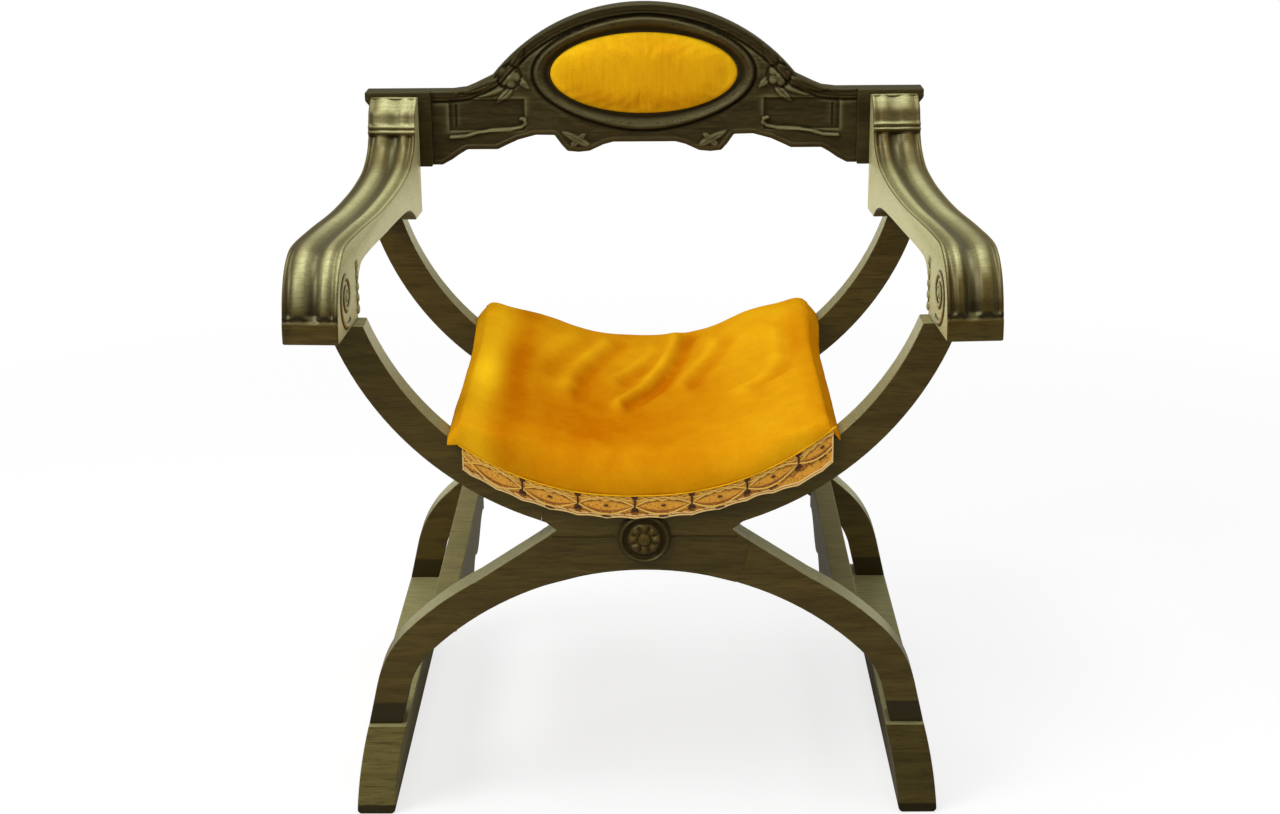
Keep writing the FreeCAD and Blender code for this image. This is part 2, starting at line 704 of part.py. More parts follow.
def crest_flowers():
    """A low carved boss on each side of the oval."""
    cones = []
    for side, sign in (("left", "-"), ("right", "")):
        cones.append(primitive(
            "Cone", side + "_flower",
            {"Radius1": "sizes.flower_radius", "Radius2": "%g * sizes.flower_radius" % FLOWER_TOP_SHARE,
             "Height": "sizes.flower_thick"},
            (sign + "sizes.flower_reach", "sizes.ground_y", "sizes.flower_height"), V(1, 0, 0), "90"))
    keep("crest_flowers", joined("Compound", "crest_flowers", Links=cones))


def crest_rail():
    """End blocks at full thickness behind the arms, and the carved ground set back between them."""
    block = size("crest_block_reach")
    foot = size("crest_foot")
    front = size("ground_y") - size("crest_recess")
    solid = slab(crest_outline(), front, size("crest_thick"))
    solid = solid.cut(Part.makeBox(2 * block, size("crest_recess"), size("crest_top") - foot,
                                   V(-block, front, foot)))
    oval("pad_pocket", POCKET_X, POCKET_Z, "sizes.ground_y", "sizes.pocket_depth")
    solid = solid.cut(built("pad_pocket"))
    slot = size("slot_gap")
    top = size("stud_high")
    for radius, start, depth in (
            (size("stud_shank_radius") + slot, front, size("stud_shank_length")),
            (size("stud_head_radius") + slot, front + size("stud_shank_length") - size("crest_gap") - slot,
             size("stud_head_thick") + 2 * slot)):
        solid = solid.cut(Part.makeBox(2 * radius, depth, top - foot,
                                       V(size("stud_x") - radius, start, foot)))
        solid = solid.cut(rod_along_y(radius, size("stud_x"), top, start, depth))
    keep_shape("crest_rail", solid)


PAD_SHARES = [(1.0, 0.0), (1.0, 0.4), (0.985, 0.58), (0.94, 0.74), (0.86, 0.86), (0.72, 0.94), (0.5, 0.985),
              (0.25, 1.0)]


def crest_pad():
    """The stuffed oval: flat behind, sides drawn in, crowned in front."""
    back = size("pad_back_y")
    depth = back - size("ground_y") + size("pad_crown")
    wires = []
    for in_share, out_share in PAD_SHARES:
        ring = Part.Ellipse(V(0, 0, 0), size("oval_half_width") * in_share,
                            size("oval_half_height") * in_share)
        wire = Part.Wire([ring.toShape()])
        wire.rotate(V(0, 0, 0), V(1, 0, 0), 90)
        wire.translate(V(0, back - depth * out_share, size("oval_height")))
        wires.append(wire)
    keep_shape("crest_pad", Part.makeLoft(wires, True, True))


# Cloth: the sling over both rails with its front skirt, and the lace sewn under the skirt


EASE_OUT_SHARE = 0.2
EASE_UP_SHARE = 0.3
SAG_SHARES = [0.75, 0.5, 0.25]


def sling_line(lift):
    """Points from the left rail's outer edge to the right one's, lift above the cloth's under side."""
    middle, along, off = rail_frame()
    half = size("rail_width") / 2
    deep = size("rail_thick") / 2
    gap = size("cloth_gap") + lift
    low = middle + along * (half + gap) - off * (deep - size("cloth_gap") - size("rail_end_gap"))
    high = middle + along * (half + gap) + off * (deep - gap * EASE_OUT_SHARE)
    top = middle + along * (half - gap * EASE_UP_SHARE) + off * (deep + gap)
    rail_top = (middle + along * half + off * (deep + size("cloth_gap"))).z
    sag_top = V(0, 0, rail_top - size("seat_sag") - size("cloth_thick") + lift)
    curve = [low, high, top]
    drop = top.z - sag_top.z
    for share in SAG_SHARES:
        curve.append(V(top.x * share, 0, sag_top.z + drop * share ** 2))
    curve.append(sag_top)
    right = [V(-p.x, 0, p.z) for p in reversed(curve[:-1])]
    return curve + right


def sling_band(high, low, y, depth):
    """A band of cloth between two lines that run from left to right."""
    edges = []
    for line in (high, low):
        edges.append(Part.makeLine(line[0], line[1]))
        edges.append(Part.makeLine(line[1], line[2]))
        edges.append(spline(line[2:-2]))
        edges.append(Part.makeLine(line[-3], line[-2]))
        edges.append(Part.makeLine(line[-2], line[-1]))
    edges.append(Part.makeLine(high[0], low[0]))
    edges.append(Part.makeLine(high[-1], low[-1]))
    return slab(edges, y, depth)


def hem_line(top):
    """The skirt's hem: the sling's curve lowered, and carried out to the sling's outer edges."""
    hem = [V(p.x, 0, p.z - size("skirt_drop")) for p in top[2:-2]]
    return [V(top[0].x, 0, hem[0].z)] + hem[1:-1] + [V(top[-1].x, 0, hem[-1].z)]


def seat_sling():
    thick = size("cloth_thick")
    over = size("cloth_overhang")
    front = face_y - over
    length = size("frame_spacing") + size("stave_thick") + over + size("cloth_rear_overhang")
    top = sling_line(thick)
    sheet_band = sling_band(top, sling_line(0), front, length)
    hem = hem_line(top)
    edges = [spline(top[2:-2]), spline(hem)]
    for a, b in ((top[2], top[1]), (top[1], top[0]), (top[0], hem[0]),
                 (top[-3], top[-2]), (top[-2], top[-1]), (top[-1], hem[-1])):
        edges.append(Part.makeLine(a, b))
    skirt = slab(edges, front, thick)
    keep_shape("seat_sling", sheet_band.fuse(skirt).removeSplitter())


SCALLOP_SHARE = 0.78


def lace_trim():
    """A scalloped band that hangs from the skirt's hem."""
    high = hem_line(sling_line(size("cloth_thick")))
    count = int(round(size("lace_scallops")))
    curve = spline(high)
    solid_edges = [curve]
    first, last = curve.ParameterRange
    depth = size("lace_drop")
    marks = []
    for step in range(2 * count + 1):
        point = curve.valueAt(first + (last - first) * step / (2 * count))
        share = 1.0 if step % 2 else SCALLOP_SHARE
        marks.append(V(point.x, 0, point.z - depth * share))
    for step in range(0, 2 * count, 2):
        solid_edges.append(Part.Arc(marks[step], marks[step + 1], marks[step + 2]).toShape())
    solid_edges.append(Part.makeLine(high[0], marks[0]))
    solid_edges.append(Part.makeLine(high[-1], marks[-1]))
    y = face_y - size("cloth_overhang") + (size("cloth_thick") - size("lace_thick")) / 2
    keep_shape("lace_trim", slab(solid_edges, y, size("lace_thick")))


def build():
    for name, side, sign, other in (("left", -1, "-", "+"), ("right", 1, "", "-")):
        dowels(name, sign)
        rail_screws(name, sign, other)
        rail(name, sign, other)
        runner(name, side)
        stretcher(name, side)
    crest_studs()
    for name, side in (("left", -1), ("right", 1)):
        arm(name, side)
    for end, y, top_height in (("front", face_y, size("arm_front_foot")),
                               ("rear", size("rear_y"), size("arm_rear_foot"))):
        stave(end, y, top_height, True)
        stave(end, y, top_height, False)
    pivot_rod()
    nut("front_nut", "sizes.face_y - sizes.lap_gap - sizes.nut_thick")
    nut("rear_nut", "sizes.rear_face_y + sizes.lap_gap")
    rosette("front_rosette", "sizes.face_y - sizes.lap_gap", "-")
    rosette("rear_rosette", "sizes.rear_face_y", "")
    pad_board()
    crest_moulding()
    crest_flowers()
    crest_rail()
    crest_pad()
    seat_sling()
    lace_trim()


def write_steps():
    doc.recompute()
    for thing in doc.Objects:
        if "Invalid" in thing.State or "Error" in thing.State:
            raise RuntimeError("%s failed: %s" % (thing.Label, thing.State))
    for label, piece in nodes.items():
        if piece.Shape.isNull() or not piece.Shape.isValid():
            raise RuntimeError("%s has no valid shape" % label)
    os.makedirs("parts", exist_ok=True)
    for label, piece in nodes.items():
        piece.Shape.exportStep("parts/%s.step" % label)
        box = piece.Shape.BoundBox
        print("%-28s solids %d volume %9.0f  x %7.1f %7.1f  y %7.1f %7.1f  z %7.1f %7.1f" % (
            label, len(piece.Shape.Solids), piece.Shape.Volume, box.XMin, box.XMax, box.YMin, box.YMax,
            box.ZMin, box.ZMax))


build()
write_steps()
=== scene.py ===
import itertools
import math
from contextlib import contextmanager

import bmesh
import bpy
import numpy as np
from mathutils import Matrix, Vector, noise


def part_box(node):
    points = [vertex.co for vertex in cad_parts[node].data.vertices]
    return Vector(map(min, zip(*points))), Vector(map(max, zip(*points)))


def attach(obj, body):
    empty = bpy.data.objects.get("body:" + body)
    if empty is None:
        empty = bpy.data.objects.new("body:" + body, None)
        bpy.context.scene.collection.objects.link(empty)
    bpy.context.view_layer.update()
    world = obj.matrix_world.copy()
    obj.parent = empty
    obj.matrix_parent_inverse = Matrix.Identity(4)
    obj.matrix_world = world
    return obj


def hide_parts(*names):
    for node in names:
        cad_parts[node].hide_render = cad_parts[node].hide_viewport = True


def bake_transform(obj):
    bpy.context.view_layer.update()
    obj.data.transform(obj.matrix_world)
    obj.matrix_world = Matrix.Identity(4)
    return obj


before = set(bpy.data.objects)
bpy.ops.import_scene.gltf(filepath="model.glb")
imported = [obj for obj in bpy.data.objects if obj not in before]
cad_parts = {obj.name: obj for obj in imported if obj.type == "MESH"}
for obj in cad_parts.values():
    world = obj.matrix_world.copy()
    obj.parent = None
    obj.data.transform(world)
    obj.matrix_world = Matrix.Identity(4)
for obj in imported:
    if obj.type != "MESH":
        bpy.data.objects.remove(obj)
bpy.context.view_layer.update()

# Studio: a pale floor that runs out of sight, a white room round it, and a large soft lamp at the upper
# left with two weaker ones, so that the faint shadow falls to the right. The camera stands and looks as
# the photographer's did.
CAMERA_PLACE = (0.0168, -2.2215, 1.1297)
CAMERA_TILT, CAMERA_YAW, CAMERA_ROLL = math.radians(71.78), math.radians(0.576), math.radians(-0.5)
CAMERA_LENS = 58.32
FLOOR_HALF, FLOOR_GLOW, FLOOR_NEAR, FLOOR_FAR = 14.0, 0.75, 0.9, 2.0
FLOOR_SHINE, ROOM_BEHIND, ROOM_ABOVE = (1.0, 2.4, 0.0, 1.5), (-0.75, 0.05, 0.03, 0.32), (0.35, 0.9, 0.0, 1.6)
WHITE, PAPER_LIT, PAPER_SEEN = (1, 1, 1, 1), (0.75, 0.75, 0.75, 1), (0.28, 0.28, 0.28, 1)
ROOM_TINT, ROOM_DIFFUSE = (1.0, 0.985, 0.68, 1), 0.36
LAMPS = [("key", (-1.9, -1.5, 2.5), 1.7, 52.0), ("fill", (2.4, -1.6, 1.9), 2.2, 7.0),
         ("top", (-0.1, -0.1, 2.6), 1.5, 28.0)]
LAMP_TARGET = Vector((0.0, 0.0, 0.42))


def plugged(tree, node, inputs):
    """Links or sets a node's inputs by name or number."""
    for key, value in inputs.items():
        if isinstance(value, bpy.types.NodeSocket):
            tree.links.new(value, node.inputs[key])
        else:
            node.inputs[key].default_value = value


def wired(tree, kind, inputs=None, **settings):
    """Adds a node of the tree's family with its settings and inputs, and gives its outputs."""
    family = "GeometryNode" if tree.bl_idname == "GeometryNodeTree" else "ShaderNode"
    node = tree.nodes.new(family + kind)
    for key, value in settings.items():
        setattr(node, key, value)
    plugged(tree, node, inputs or {})
    return node.outputs


def maths(tree, operation, *values, **settings):
    """The result of a sum, product or the like."""
    return wired(tree, "Math", dict(enumerate(values)), operation=operation, **settings)[0]


def ranged(tree, value, low, high, start=0.0, end=1.0):
    """A value carried over from one range to another and held at both ends."""
    return wired(tree, "MapRange", {"Value": value, "From Min": low, "From Max": high, "To Min": start,
                                    "To Max": end})[0]


def mixed(tree, factor, a, b, **settings):
    """Two colours mixed by a factor."""
    return wired(tree, "Mix", {"Factor": factor, "A": a, "B": b}, data_type="RGBA", **settings)["Result"]


def meshed(name, points, faces, edges=()):
    """A new mesh from its points and faces, or from its points and edges."""
    mesh = bpy.data.meshes.new(name)
    mesh.from_pydata(points, edges, faces)
    return mesh


def linked(name, data):
    """A new object at the origin that holds a mesh, a lamp or a camera."""
    obj = bpy.data.objects.new(name, data)
    bpy.context.scene.collection.objects.link(obj)
    return obj


corners = [(x * FLOOR_HALF, y * FLOOR_HALF, 0) for x, y in ((-1, -1), (1, -1), (1, 1), (-1, 1))]
floor_mesh = meshed("floor", corners, [(0, 1, 2, 3)])
linked("floor", floor_mesh)
floor_paint = bpy.data.materials.new("floor_paper")
floor_paint.use_nodes = True
tree = floor_paint.node_tree
tree.nodes.clear()
ray = wired(tree, "LightPath")
matte = wired(tree, "BsdfDiffuse", {"Color": mixed(
    tree, maths(tree, "MAXIMUM", ray["Is Camera Ray"], ray["Is Glossy Ray"]), PAPER_LIT, PAPER_SEEN)})
place = wired(tree, "TexCoord")["Object"]
away = wired(tree, "VectorMath", {0: place}, operation="LENGTH")["Value"]
behind = ranged(tree, wired(tree, "SeparateXYZ", {0: place})["Y"], *FLOOR_SHINE)
shiny = maths(tree, "MULTIPLY", ray["Is Glossy Ray"], behind)
seen = maths(tree, "ADD", maths(tree, "MULTIPLY", ray["Is Camera Ray"], FLOOR_GLOW), shiny)
warm = mixed(tree, ray["Is Glossy Ray"], WHITE, ROOM_TINT)
glow = wired(tree, "Emission", {"Color": warm, "Strength": seen})
near = wired(tree, "AddShader", {0: matte[0], 1: glow[0]})
white = wired(tree, "Emission", {"Color": WHITE, "Strength": ray["Is Camera Ray"]})
blank = maths(tree, "MULTIPLY", ray["Is Camera Ray"], ranged(tree, away, FLOOR_NEAR, FLOOR_FAR))
both = wired(tree, "MixShader", {0: blank, 1: near[0], 2: white[0]})
wired(tree, "OutputMaterial", {"Surface": both[0]})
floor_mesh.materials.append(floor_paint)

world = bpy.data.worlds.new("white_room")
bpy.context.scene.world = world
world.use_nodes = True
tree = world.node_tree
tree.nodes.clear()
way = wired(tree, "SeparateXYZ", {0: wired(tree, "TexCoord")["Generated"]})
ray = wired(tree, "LightPath")
room = maths(tree, "MAXIMUM", ranged(tree, way["Y"], *ROOM_BEHIND), ranged(tree, way["Z"], *ROOM_ABOVE))
power = maths(tree, "MAXIMUM", ray["Is Camera Ray"], ray["Is Transmission Ray"])
power = maths(tree, "MAXIMUM", power, maths(tree, "MULTIPLY", ray["Is Glossy Ray"], room))
power = maths(tree, "MAXIMUM", power, maths(tree, "MULTIPLY", ray["Is Diffuse Ray"], ROOM_DIFFUSE))
warm = mixed(tree, ray["Is Glossy Ray"], WHITE, ROOM_TINT)
sky = wired(tree, "Background", {"Color": warm, "Strength": power})
wired(tree, "OutputWorld", {"Surface": sky[0]})

for name, place, width, watts in LAMPS:
    lamp = bpy.data.lights.new(name, "AREA")
    lamp.shape, lamp.size, lamp.energy = "DISK", width, watts
    holder = linked(name, lamp)
    holder.location = place
    holder.rotation_euler = (LAMP_TARGET - Vector(place)).to_track_quat("-Z", "Y").to_euler()

camera = linked("camera", bpy.data.cameras.new("camera"))
camera.data.lens = CAMERA_LENS
camera.matrix_world = (Matrix.Translation(CAMERA_PLACE) @ Matrix.Rotation(CAMERA_YAW, 4, "Z")
                       @ Matrix.Rotation(CAMERA_TILT, 4, "X") @ Matrix.Rotation(CAMERA_ROLL, 4, "Z"))
bpy.context.scene.camera = camera
bpy.context.scene.view_settings.view_transform = "Standard"

# The four S staves: sawn walnut boards, halved through each other at the hub, with eased edges under a
# dark wax finish. Both halves of a lap lie flush, and a fine seam runs from the notches to the rosette.
STAVE_EASE, SHARP = 0.0013, math.radians(30)
HUB = Vector((0.0, 0.0, 0.322))
LAP_RADII, NOTCH_RADII = (0.1082, 0.1100), (0.0930, 0.1135)
SEAM_HIGH, SEAM_DEEP, SEAM_ENDS = 0.0005, 0.0005, (0.0265, 0.0970)
WALNUT_DARK, WALNUT_LIGHT = (0.052, 0.0310, 0.0046, 1), (0.098, 0.0620, 0.0100, 1)
WAX_TINT, DUST_TINT, GRAIN_STRETCH = (1.0, 0.92, 0.52, 1), (1.0, 0.95, 0.60, 1), (2.2, 26.0, 26.0)
# Painted shade bands by height: one on the staves just above the runners, one on the runners' chamfered
# underside, at the given strength.
FOOT_SHADE, CHAMFER_SHADE, SHADE_STRENGTH = (0.1070, 0.1330), (-0.01, 0.0125), 0.88
# The dark colour serves as patina and as painted shade; the pale one is a painted highlight, laid on the
# staves' upward faces at the given share.
PATINA_AND_SHADE, HIGHLIGHT_PAINT, STAVE_HIGHLIGHT = (0.010, 0.006, 0.0015, 1), (0.42, 0.41, 0.20, 1), 0.8


def node_group(name, family, inputs, outputs):
    """An empty node group, the sockets that bring its named inputs, and its output node."""
    group = bpy.data.node_groups.new(name, family + "NodeTree")
    for label, kind, *default in inputs:
        made = group.interface.new_socket(label, in_out="INPUT", socket_type="NodeSocket" + kind)
        if default:
            made.default_value = default[0]
    for label, kind in outputs:
        group.interface.new_socket(label, in_out="OUTPUT", socket_type="NodeSocket" + kind)
    return group, group.nodes.new("NodeGroupInput").outputs, group.nodes.new("NodeGroupOutput")


def clouded(tree, vector, scale, detail, **more):
    """The value of a noise pattern."""
    return wired(tree, "TexNoise", {"Vector": vector, "Scale": scale, "Detail": detail, **more})["Fac"]


grain, given, result = node_group(
    "wood_grain", "Shader",
    [("Vector", "Vector"), ("Dark", "Color", WALNUT_DARK), ("Light", "Color", WALNUT_LIGHT),
     ("Hollow", "Float", 0.0), ("Patina", "Color", PATINA_AND_SHADE), ("Smooth", "Float", 0.3)],
    [("Colour", "Color"), ("Roughness", "Float"), ("Height", "Float")])
bands = clouded(grain, given["Vector"], 2.2, 5.0, Roughness=0.6, Distortion=1.1)
pores = clouded(grain, given["Vector"], 17.0, 3.0, Roughness=0.7)
tone = mixed(grain, ranged(grain, bands, 0.32, 0.7), given["Dark"], given["Light"])
tone = mixed(grain, ranged(grain, pores, 0.36, 0.52, 0.45, 0.0), tone, given["Patina"])
# Painted shade and patina: the tone darkens towards the dark colour by the given share.
tone = mixed(grain, given["Hollow"], tone, given["Patina"])
rough = maths(grain, "MULTIPLY_ADD", bands, 0.16, given["Smooth"])
plugged(grain, result, {"Colour": tone, "Roughness": rough, "Height": pores})


def new_paint(name):
    """A new material, its tree, its shader and its object coordinates."""
    paint = bpy.data.materials.new(name)
    paint.use_nodes = True
    tree = paint.node_tree
    return paint, tree, tree.nodes["Principled BSDF"], wired(tree, "TexCoord")["Object"]


def walnut(name, turn=(0, 0, 0), dark=WALNUT_DARK, light=WALNUT_LIGHT, smooth=0.24, ior=1.56, dust=0.10,
           shade_band=(-1.0, -0.9)):
    """Waxed walnut with its grain along X once turned, painted shade between two heights and by its shade
    attribute, and a painted highlight by its highlight attribute.
    """
    paint, tree, shader, place = new_paint(name)
    stretch = wired(tree, "Mapping", {"Vector": place, "Rotation": turn, "Scale": GRAIN_STRETCH})
    high = wired(tree, "SeparateXYZ", {0: place})["Z"]
    # Painted shade: a dark band between two heights, and wherever the shade attribute says.
    shade_share = maths(tree, "MULTIPLY", ranged(tree, high, shade_band[0], shade_band[0] + 0.001, 0.0, SHADE_STRENGTH),
                  ranged(tree, high, shade_band[1] - 0.002, shade_band[1], 1.0, 0.0))
    shade_share = maths(tree, "MAXIMUM", shade_share, wired(tree, "Attribute", attribute_name="shade_and_patina")["Fac"])
    look = wired(tree, "Group", {"Vector": stretch[0], "Dark": dark, "Light": light, "Hollow": shade_share,
                                 "Smooth": smooth}, node_tree=grain)
    relief = wired(tree, "Bump", {"Strength": 0.12, "Distance": 0.0005, "Height": look["Height"]})
    # Painted highlight: pale paint mixed in where the highlight attribute says, broken up by the pores.
    highlit = wired(tree, "Attribute", attribute_name="painted_highlight")["Fac"]
    tone = mixed(tree, maths(tree, "MULTIPLY", highlit, look["Height"]), look["Colour"], HIGHLIGHT_PAINT)
    plugged(tree, shader, {
        "Base Color": tone, "Roughness": look["Roughness"], "Normal": relief[0], "IOR": ior,
        "Specular Tint": WAX_TINT, "Sheen Weight": dust, "Sheen Roughness": 0.35, "Sheen Tint": DUST_TINT})
    return paint


@contextmanager
def opened(mesh):
    """Opens a mesh for work on its points and faces, and writes it back when that is done."""
    shape = bmesh.new()
    shape.from_mesh(mesh)
    yield shape
    shape.to_mesh(mesh)
    shape.free()


def painted(mesh, paint):
    """Leaves a mesh with this one material."""
    mesh.materials.clear()
    mesh.materials.append(paint)


def from_node(node):
    """A node's mesh with its loose triangles merged and its flat faces made whole."""
    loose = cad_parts[node].data
    faces = [tuple(p.vertices) for p in loose.polygons]
    mesh = meshed(node + "_merged", [v.co for v in loose.vertices], faces)
    with opened(mesh) as shape:
        bmesh.ops.remove_doubles(shape, verts=shape.verts, dist=1e-5)
        bmesh.ops.dissolve_limit(shape, angle_limit=math.radians(0.5), verts=shape.verts, edges=shape.edges)
    return mesh


def baked(obj):
    """A plain mesh of the object with its modifiers applied, which are then taken off."""
    done = bpy.data.meshes.new_from_object(obj.evaluated_get(bpy.context.evaluated_depsgraph_get()))
    obj.modifiers.clear()
    return done


def cut_away(mesh, cutter):
    """The mesh less a cutter's mesh, as a plain mesh again."""
    work, tool = linked("work", mesh), linked("tool", cutter)
    saw = work.modifiers.new("saw", "BOOLEAN")
    saw.object, saw.operation, saw.solver = tool, "DIFFERENCE", "EXACT"
    done = baked(work)
    bpy.data.objects.remove(work)
    bpy.data.objects.remove(tool)
    return done


def block(low, high):
    """A plain box mesh, used as a cutter."""
    corners = [(x, y, z) for x in (low[0], high[0]) for y in (low[1], high[1]) for z in (low[2], high[2])]
    return meshed("block", corners, [(0, 1, 3, 2), (4, 6, 7, 5), (0, 4, 5, 1), (2, 3, 7, 6), (0, 2, 6, 4),
                                     (1, 5, 7, 3)])


def marked(mesh, label, domain, values):
    """Writes a value on every point, corner or face of a mesh, for its material to read."""
    mesh.attributes.new(label, "FLOAT", domain).data.foreach_set("value", values)


def ease(obj, width, spared=None):
    """Rounds the sharp edges over, by the share that spared gives for each."""
    with opened(obj.data) as shape:
        weight = shape.edges.layers.float.new("bevel_weight_edge")
        for edge in shape.edges:
            if len(edge.link_faces) == 2 and edge.calc_face_angle(0.0) >= SHARP:
                edge[weight] = 1.0 if spared is None else spared((edge.verts[0].co + edge.verts[1].co) / 2)
    obj.data.shade_smooth()
    obj.data.set_sharp_from_angle(angle=SHARP)
    round_over = obj.modifiers.new("eased_edges", "BEVEL")
    round_over.width, round_over.segments, round_over.limit_method = width, 2, "WEIGHT"
    round_over.use_clamp_overlap = False
    round_over.harden_normals = True


def dressed(node, mesh, paint, body, ease_width, spared=None, top=("painted_highlight", STAVE_HIGHLIGHT)):
    """A finished wooden piece that stands for its node, its upward faces given painted highlight (pale) or
    painted shade (dark) by the attribute and share given.
    """
    piece = linked(node + "_wood", mesh)
    # Upward faces get the painted highlight or painted shade, growing with how far they face up.
    marked(mesh, top[0], "FACE",
           [top[1] * max(0.0, min(1.0, (p.normal.z - 0.15) / 0.6)) for p in mesh.polygons])
    painted(mesh, paint)
    ease(piece, ease_width, spared)
    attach(piece, body)
    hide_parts(node)
    return piece


def by_the_lap(point):
    """Share of the rounding that an edge gets: none on the laps, and little in the notches beside them."""
    away = math.hypot(point.x, point.z - HUB.z)
    if LAP_RADII[0] < away < LAP_RADII[1]:
        return 0.0
    return 0.22 if NOTCH_RADII[0] < away < NOTCH_RADII[1] else 1.0


STAVES = [("front_stave_rising_left", "fixed_half", 0.62),
          ("front_stave_rising_right", "folding_half", -0.62),
          ("rear_stave_rising_left", "fixed_half", 0.58),
          ("rear_stave_rising_right", "folding_half", -0.58)]
for node, body, slant in STAVES:
    mesh = from_node(node)
    if node == "front_stave_rising_right":
        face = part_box(node)[0].y
        for side in (-1, 1):
            low, high = sorted(side * end for end in SEAM_ENDS)
            mesh = cut_away(mesh, block((low, face - 0.001, HUB.z + 0.001 - SEAM_HIGH),
                                        (high, face + SEAM_DEEP, HUB.z + 0.001)))
    # The staves get a band of painted shade just above the runners.
    dressed(node, mesh, walnut(node + "_walnut", (0, slant, 0), shade_band=FOOT_SHADE), body, STAVE_EASE, by_the_lap)

# Rod, nuts, screws and studs are black iron, dowels are beech, and the board behind the pad is thin
# deal. All are hidden once the chair is together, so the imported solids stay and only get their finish.
HIDDEN = [("iron", (0.055, 0.052, 0.05, 1), 0.42, 1.0,
           ["pivot_rod", "front_nut", "rear_nut", "crest_studs", "left_rail_screws", "right_rail_screws"]),
          ("beech", (0.50, 0.33, 0.18, 1), 0.6, 0.0,
           ["left_arm_dowels", "right_arm_dowels", "left_runner_dowels", "right_runner_dowels",
            "left_stretcher_dowels", "right_stretcher_dowels"]),
          ("deal", (0.42, 0.29, 0.16, 1), 0.7, 0.0, ["pad_board"])]


def speckled(name, colour, roughness, metal, grain_scale=60.0, depth=0.00015):
    """A plain finish broken up by fine noise in its colour, shine and surface."""
    paint, tree, shader, place = new_paint(name)
    mottle = clouded(tree, place, grain_scale, 6.0)
    tone = mixed(tree, mottle, tuple(c * 0.6 for c in colour[:3]) + (1,), colour)
    relief = wired(tree, "Bump", {"Strength": 0.3, "Distance": depth, "Height": mottle})
    plugged(tree, shader, {"Base Color": tone, "Normal": relief[0], "Metallic": metal,
                           "Roughness": maths(tree, "MULTIPLY_ADD", mottle, 0.2, roughness - 0.1)})
    return paint


for name, colour, roughness, metal, members in HIDDEN:
    paint = speckled(name, colour, roughness, metal)
    for node in members:
        painted(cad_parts[node].data, paint)

# Turned and carved rosettes that hide the nuts: a rim bead, a hollow, and a boss with eight petals round a
# button, each with a recess behind for the nut. They are glued to the outer faces of both hubs.
ROSETTE_RADIUS, ROSETTE_RISE = 0.028, 0.011
ROSETTE_LINE = [(0.0, 0.92), (0.10, 1.0), (0.19, 0.93), (0.225, 0.70), (0.25, 0.64), (0.33, 0.80),
                (0.44, 0.9), (0.54, 0.80), (0.62, 0.52), (0.66, 0.34), (0.72, 0.28), (0.78, 0.36),
                (0.82, 0.56), (0.87, 0.66), (0.92, 0.56), (0.955, 0.36), (1.0, 0.26), (1.0, 0.0)]
ROSETTE_TURNS, ROSETTE_PETALS, ROSETTE_STEPS = 128, 8, 6
NUT_ROOM, NUT_DEEP = 0.0137, 0.0063


def outward(mesh, merge=None):
    """Joins points that meet, where a distance is given, and turns the normals outwards."""
    with opened(mesh) as shape:
        if merge:
            bmesh.ops.remove_doubles(shape, verts=shape.verts, dist=merge)
        bmesh.ops.recalc_face_normals(shape, faces=shape.faces)
    mesh.shade_smooth()


def bell(value, middle, spread):
    """A smooth hump of height one round the middle."""
    return np.exp(-((value - middle) / spread) ** 2)


def circle(count):
    """Even angles round a circle."""
    return math.tau * np.arange(count) / count


def lathe_faces(rings, turns):
    """Quads between neighbouring rings of points, each ring closed."""
    return [(a + t, a + (t + 1) % turns, a + turns + (t + 1) % turns, a + turns + t)
            for a in range(0, (rings - 1) * turns, turns) for t in range(turns)]


shares = np.arange(ROSETTE_STEPS * (len(ROSETTE_LINE) - 1)) / ROSETTE_STEPS
radius, height = (np.interp(shares, range(len(ROSETTE_LINE)), column) for column in zip(*ROSETTE_LINE))
for node, face, way in (("front_rosette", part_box("front_rosette")[1].y, -1),
                        ("rear_rosette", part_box("rear_rosette")[0].y, 1)):
    points, shade_and_patina = [], []
    for r, h in zip(radius, height):
        for angle in circle(ROSETTE_TURNS):
            lobe = 0.5 + 0.5 * math.cos(ROSETTE_PETALS * angle)
            out = h - 0.32 * bell(r, 0.44, 0.13) * (1 - lobe ** 0.6)
            points.append((ROSETTE_RADIUS * r * math.cos(angle), face + way * ROSETTE_RISE * max(out, 0.0),
                           HUB.z + ROSETTE_RADIUS * r * math.sin(angle)))
            # Deeper carving is painted darker: patina in the hollows, deepened as painted shade.
            shade_and_patina.append(min(1.0, max(0.0, 1.15 - 1.3 * out)) if h > 0.05 else 0.0)
    for r, y in ((ROSETTE_RADIUS, 0.0), (NUT_ROOM, 0.0), (NUT_ROOM, NUT_DEEP), (0.0, NUT_DEEP)):
        points += [(r * math.cos(angle), face + way * y, HUB.z + r * math.sin(angle))
                   for angle in circle(ROSETTE_TURNS)]
    mesh = meshed(node + "_carved", points, lathe_faces(len(radius) + 4, ROSETTE_TURNS))
    marked(mesh, "shade_and_patina", "POINT", shade_and_patina + [0.6] * (4 * ROSETTE_TURNS))
    outward(mesh, 1e-6)
    mesh.set_sharp_from_angle(angle=math.radians(50))
    mesh.materials.append(walnut(node + "_walnut", smooth=0.36, ior=1.42))
    piece = linked(node + "_carved", mesh)
    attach(piece, "fixed_half")
    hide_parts(node)

